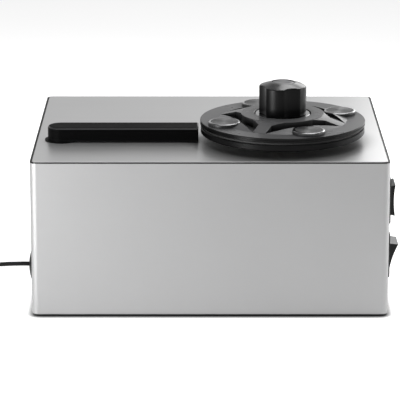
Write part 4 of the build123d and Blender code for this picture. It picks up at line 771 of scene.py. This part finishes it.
# ------------------------------------------------------------------ clamp weights and washer
# Four steel slugs lie in the clamp's seats. Each has a dark, circularly brushed face inside a thin
# groove, and a polished bevel. A polished washer lies in the hub's recess and takes the knob's thrust.
WEIGHTS_LOW, WEIGHTS_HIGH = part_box("clamp_weights")
WEIGHT_R = 11.2
WEIGHT_RING = 44.0
WEIGHT_FIRST = 112.0
WEIGHT_COUNT = 4
WEIGHT_EDGE = 1.0
FACE_R = 9.3
FACE_SINK = 0.02
GROOVE_DEPTH = 0.2
SLUG_FIT = 0.04
TURN_STEPS = 72


def brushed_face(name, colour, rough, turned_grain=0.75):
    """Turned face: its shine is drawn out along the piece's own map, and fine rings run round it."""
    material, tree, shader, link = shader_tree(name)
    shader.inputs["Base Color"].default_value = (*colour, 1)
    shader.inputs["Metallic"].default_value = 0.25
    shader.inputs["Specular IOR Level"].default_value = 0.3
    shader.inputs["Anisotropic"].default_value = turned_grain
    own = tree.nodes.new("ShaderNodeUVMap")
    own.uv_map = "own_map"
    along = tree.nodes.new("ShaderNodeTangent")
    along.direction_type = "UV_MAP"
    along.uv_map = "own_map"
    rings = tree.nodes.new("ShaderNodeMapping")
    rings.inputs["Scale"].default_value = (40, 4000, 1)
    fine = tree.nodes.new("ShaderNodeTexNoise")
    fine.inputs["Scale"].default_value = 1.0
    fine.inputs["Detail"].default_value = 3.0
    shine = tree.nodes.new("ShaderNodeMapRange")
    shine.inputs["To Min"].default_value = rough * 0.8
    shine.inputs["To Max"].default_value = rough * 1.25
    link(own.outputs["UV"], rings.inputs["Vector"])
    link(rings.outputs["Vector"], fine.inputs["Vector"])
    link(fine.outputs["Fac"], shine.inputs["Value"])
    link(shine.outputs["Result"], shader.inputs["Roughness"])
    link(along.outputs["Tangent"], shader.inputs["Tangent"])
    return material


polish = metal("polish", (0.32, 0.32, 0.325), 0.12, bump=0.01, drift=0.02)
weight_face = brushed_face("weight_face", (0.03, 0.03, 0.031), 0.3)
weight_high = (WEIGHTS_HIGH[2] - WEIGHTS_LOW[2]) / MM
edge_turn = np.linspace(0, np.pi / 2, 8)
edge_r = WEIGHT_R - SLUG_FIT - WEIGHT_EDGE * (1 - np.cos(edge_turn))
edge_z = weight_high - WEIGHT_EDGE * (1 - np.sin(edge_turn))
face_high = weight_high - FACE_SINK
groove_low = weight_high - GROOVE_DEPTH
weight_profile = [(0, 0), (WEIGHT_R - 0.3, 0), (WEIGHT_R - SLUG_FIT, 0.3)] + list(zip(edge_r, edge_z)) + [
    (FACE_R + 0.25, weight_high), (FACE_R + 0.15, groove_low), (FACE_R, groove_low),
    (FACE_R - 0.1, face_high), (FACE_R * 0.66, face_high), (FACE_R * 0.33, face_high), (0, face_high),
]
slug_points, slug_faces = turned(weight_profile, TURN_STEPS)
dark_side, bright_bevel, dark_face = [1] * 6, [0] * 5, [1] * 6
slug_marks = np.repeat(np.array(dark_side + bright_bevel + dark_face), TURN_STEPS)
for k in range(WEIGHT_COUNT):
    aim = math.radians(WEIGHT_FIRST + 360 / WEIGHT_COUNT * k)
    out, back = WEIGHT_RING * MM * math.cos(aim), WEIGHT_RING * MM * math.sin(aim)
    seat = np.array([AXIS_X + out, AXIS_Y + back, WEIGHTS_LOW[2]])
    slug = skin("clamp_weight_%d" % (k + 1), seat + slug_points * MM, slug_faces, [polish, weight_face],
                "clamp", marks=slug_marks)
    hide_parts("clamp_weights")
dress(metal("washer_chrome", (0.24, 0.24, 0.245), 0.12, bump=0.01, drift=0.02), "thrust_washer")


# ------------------------------------------------------------------ knob
# Turned from aluminium and anodised gloss black, with four shallow finger flutes down its side and a
# conical top. A grey disc is pressed into its middle and a brass thread into its foot.
KNOB_LOW, KNOB_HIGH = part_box("knob")
KNOB_R = 16.5
FLUTE_R = 22.0
WAIST_R = 14.5
FLUTES = 4
FLUTE_TURN = 22.0
CONE_DROP = 2.6
INLAY_R = 7.7
INLAY_T = 1.2
THREAD_HOLE_R = 6.0
THREAD_HOLE_L = 9.0
EDGE_ROUND = 0.8
WALL_RINGS = (6.0, 13.0)
CONE_ROWS = range(11, 21)       # rows of the knob's grid that lie on its top edge and cone
FLUTE_SHARPNESS = 5             # how tightly the soft minimum follows the outer circle and the flutes


def fluted_knob(steps=240):
    """Fluted cone-topped knob, in mm from its foot. Round the axis the wall's radius is the soft minimum of
    the outer circle and of the distance to four flute circles; the cone falls evenly with the radius, so that
    its lower border waves with the flutes."""
    high = (KNOB_HIGH[2] - KNOB_LOW[2]) / MM
    angle = np.arange(steps) * 2 * np.pi / steps
    part = 2 * np.pi / FLUTES
    from_flute = np.mod(angle - math.radians(FLUTE_TURN) + part / 2, part) - part / 2
    reach = WAIST_R + FLUTE_R
    beside = reach * np.sin(from_flute)
    flute = reach * np.cos(from_flute) - np.sqrt(np.maximum(FLUTE_R ** 2 - beside ** 2, 0))
    wall = KNOB_R - np.log(1 + np.exp(-FLUTE_SHARPNESS * (flute - KNOB_R))) / FLUTE_SHARPNESS
    lip = INLAY_R + 0.6
    slope = CONE_DROP / (KNOB_R - lip)
    border = high - slope * (wall - lip)
    turn = np.linspace(0, 1, 6)[:, None]
    rounded_r = wall - EDGE_ROUND * turn ** 2
    rounded_z = border - EDGE_ROUND * (1 - turn) ** 2 + EDGE_ROUND * slope * turn ** 2
    fall = np.linspace(0.12, 1, 7)[:, None]
    cone_r = wall - EDGE_ROUND + (lip - wall + EDGE_ROUND) * fall
    cone_z = high - slope * (cone_r - lip)
    flat = np.ones(steps)
    hole_r, hole_end = THREAD_HOLE_R * flat, THREAD_HOLE_L * flat
    radius = [0 * flat, hole_r, hole_r, wall - 0.7, wall - 0.2, wall, wall, wall]
    height = [hole_end, hole_end, 0 * flat, 0 * flat, 0.2 * flat, 0.7 * flat]
    height += [ring * flat for ring in WALL_RINGS]
    lip_r = [(INLAY_R + 0.25) * flat, (INLAY_R + 0.1) * flat, (INLAY_R + 0.1) * flat, 0 * flat]
    lip_z = [high * flat, (high - 0.15) * flat, (high - INLAY_T) * flat, (high - INLAY_T) * flat]
    radius = np.vstack([radius, rounded_r, cone_r, lip_r])
    height = np.vstack([height, rounded_z, cone_z, lip_z])
    return np.stack([radius * np.cos(angle), radius * np.sin(angle), height], axis=2), quads(len(radius), steps)


gloss_black = metal("gloss_black", (0.002, 0.002, 0.0021), 0.3, grain=(300, 300, 2500), metallic=0.0,
                    smudge=0.1, bump=0.02, specular=0.14)
# The cone has the knob's gloss black painted lighter and given more shine, a painted highlight where the cone
# top catches the lamps.
cone_painted_highlight = metal("cone_painted_highlight", (0.016, 0.016, 0.0165), 0.26, grain=(300, 300, 2500), metallic=0.0,
                   smudge=0.1, bump=0.02, specular=0.45)
knob_points, knob_faces = fluted_knob()
knob_foot = np.array([AXIS_X, AXIS_Y, KNOB_LOW[2]])
# Faces of the top edge and cone take the painted highlight.
cone_highlight_marks = np.isin(np.arange(knob_points.shape[0] - 1), CONE_ROWS).astype(int)
knob = skin("fluted_knob", knob_foot + knob_points * MM, knob_faces, [gloss_black, cone_painted_highlight], "knob",
            marks=np.repeat(cone_highlight_marks, knob_points.shape[1]))
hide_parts("knob")

INLAY_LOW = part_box("knob_inlay")[0]
inlay_rim = metal("inlay_rim", (0.09, 0.09, 0.092), 0.3, grain=(900, 900, 900))
inlay_face = brushed_face("inlay_face", (0.11, 0.11, 0.114), 0.34, turned_grain=0.5)
inlay_top = INLAY_T - 0.02
inlay_profile = [
    (0, 0), (INLAY_R, 0), (INLAY_R, INLAY_T - 0.55), (INLAY_R - 0.2, INLAY_T - 0.4),
    (INLAY_R - 1.3, INLAY_T - 0.06), (INLAY_R - 1.6, inlay_top), (4.0, inlay_top), (2.0, inlay_top),
    (0, inlay_top),
]
disc_points, disc_faces = turned(inlay_profile, TURN_STEPS)
disc_foot = np.array([AXIS_X, AXIS_Y, INLAY_LOW[2]])
disc_edge, disc_top = [0] * 5, [1] * 3
inlay = skin("knob_disc", disc_foot + disc_points * MM, disc_faces, [inlay_rim, inlay_face], "knob",
             marks=np.repeat(np.array(disc_edge + disc_top), TURN_STEPS))
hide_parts("knob_inlay")


# ------------------------------------------------------------------ suction arm
# A hollow arm anodised black, round at its swivel and square at its tip. A plastic cover with the
# suction slot and two felt strips closes it from below, and a low collar lies round its pipe.
ARM_LOW, ARM_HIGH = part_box("suction_arm")
ARM_HALF = (ARM_HIGH[1] - ARM_LOW[1]) / 2 / MM
ARM_END = (ARM_HIGH[0] - ARM_LOW[0]) / MM - ARM_HALF
ARM_TALL = (ARM_HIGH[2] - ARM_LOW[2]) / MM
ARM_WALL = 2.2
ARM_EDGE = 1.3
ARM_CORNER = 0.8
GROOVE_SINK = 0.22
EDGE_ROWS = (8, 9, 10)          # rows of the arm's grid that lie on its rounded top edge


def arm_outline(inset, curve_steps=40, run_steps=8, corner_steps=6):
    """Closed outline of the arm, inset by so many mm and seen from above: a half circle round the swivel, two
    straight runs, and a square tip whose two corners are rounded by what is left of the corner's radius."""
    half = ARM_HALF - inset
    end = ARM_END - inset
    corner = max(ARM_CORNER - inset, 0.15)
    swing = np.linspace(np.pi / 2, 3 * np.pi / 2, curve_steps)
    near = np.stack([half * np.cos(swing), half * np.sin(swing)], axis=1)
    run = np.linspace(0, 1, run_steps + 2)[1:-1, None]
    front = np.array([[0, -half]]) + run * np.array([[end - corner, 0]])
    bend = np.linspace(-np.pi / 2, 0, corner_steps)
    tip_front = np.stack([end - corner + corner * np.cos(bend), -half + corner + corner * np.sin(bend)], axis=1)
    tip_back = tip_front[::-1] * np.array([1, -1])
    back = front[::-1] * np.array([1, -1])
    return np.vstack([near, front, tip_front, tip_back, back])


def hollow_arm():
    """Arm open below: outlines of growing inset carried up the wall and through a shallow groove, round the
    top edge, over the top, and down again inside at the wall's thickness."""
    turn = np.linspace(0, np.pi / 2, 6)
    edge_low = ARM_TALL - ARM_EDGE
    inner = ARM_HALF - 0.02
    rows = [(ARM_WALL, 0.0), (0.25, 0.0), (0.0, 0.25), (0.0, edge_low - 1.6)]
    rows += [(GROOVE_SINK, edge_low - 1.4), (GROOVE_SINK, edge_low - 0.9), (0.0, edge_low - 0.7)]
    rows += [(ARM_EDGE * (1 - math.cos(t)), edge_low + ARM_EDGE * math.sin(t)) for t in turn]
    rows += [(ARM_HALF * 0.6, ARM_TALL), (inner, ARM_TALL)]
    rows += [(inner, ARM_TALL - ARM_WALL), (ARM_WALL, ARM_TALL - ARM_WALL)]
    lines = [np.pad(arm_outline(inset), ((0, 0), (0, 1)), constant_values=height) for inset, height in rows]
    points = np.stack(lines)
    return points, quads(len(rows), points.shape[1], round_rows=True)


felt = moulded("felt", (0.05, 0.05, 0.052), 0.95, grain=3500.0, bump=0.9)
arm_black = metal("arm_black", (0.003, 0.003, 0.0031), 0.5, grain=(60, 900, 900), metallic=0.0, smudge=0.12,
                  specular=0.02)
# The rounded top edge has the arm's black painted lighter and given more shine, a painted highlight along the
# edge.
arm_edge_painted_highlight = metal("arm_edge_painted_highlight", (0.02, 0.02, 0.021), 0.32, grain=(60, 900, 900), metallic=0.0, smudge=0.12,
                 specular=0.3)
arm_plastic = moulded("arm_plastic", (0.003, 0.003, 0.0032), 0.55, specular=0.06)
arm_points, arm_faces = hollow_arm()
arm_foot = np.array([ARM_LOW[0] + ARM_HALF * MM, (ARM_LOW[1] + ARM_HIGH[1]) / 2, ARM_LOW[2]])
# Faces of the rounded top edge take the painted highlight.
edge_highlight_marks = np.isin(np.arange(arm_points.shape[0]), EDGE_ROWS).astype(int)
arm = skin("hollow_arm", arm_foot + arm_points * MM, arm_faces, [arm_black, arm_edge_painted_highlight], "arm",
           marks=np.repeat(edge_highlight_marks, arm_points.shape[1]))
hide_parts("suction_arm")
dress(arm_plastic, "arm_base", "arm_collar")
dress(felt, "felt_strips")


# ------------------------------------------------------------------ switches and gland
# Two snap-in rocker switches sit in the right wall, moulded in black. The gland in the left wall is a
# soft black dome that grips the cord.
switch_black = moulded("switch_black", (0.004, 0.004, 0.0042), 0.34, specular=0.2)
dress(switch_black, "direction_switch", "vacuum_switch", "direction_rocker", "vacuum_rocker")
gland_rubber = moulded("gland_black", (0.003, 0.003, 0.0031), 0.5, specular=0.06)
dress(gland_rubber, "cord_gland")
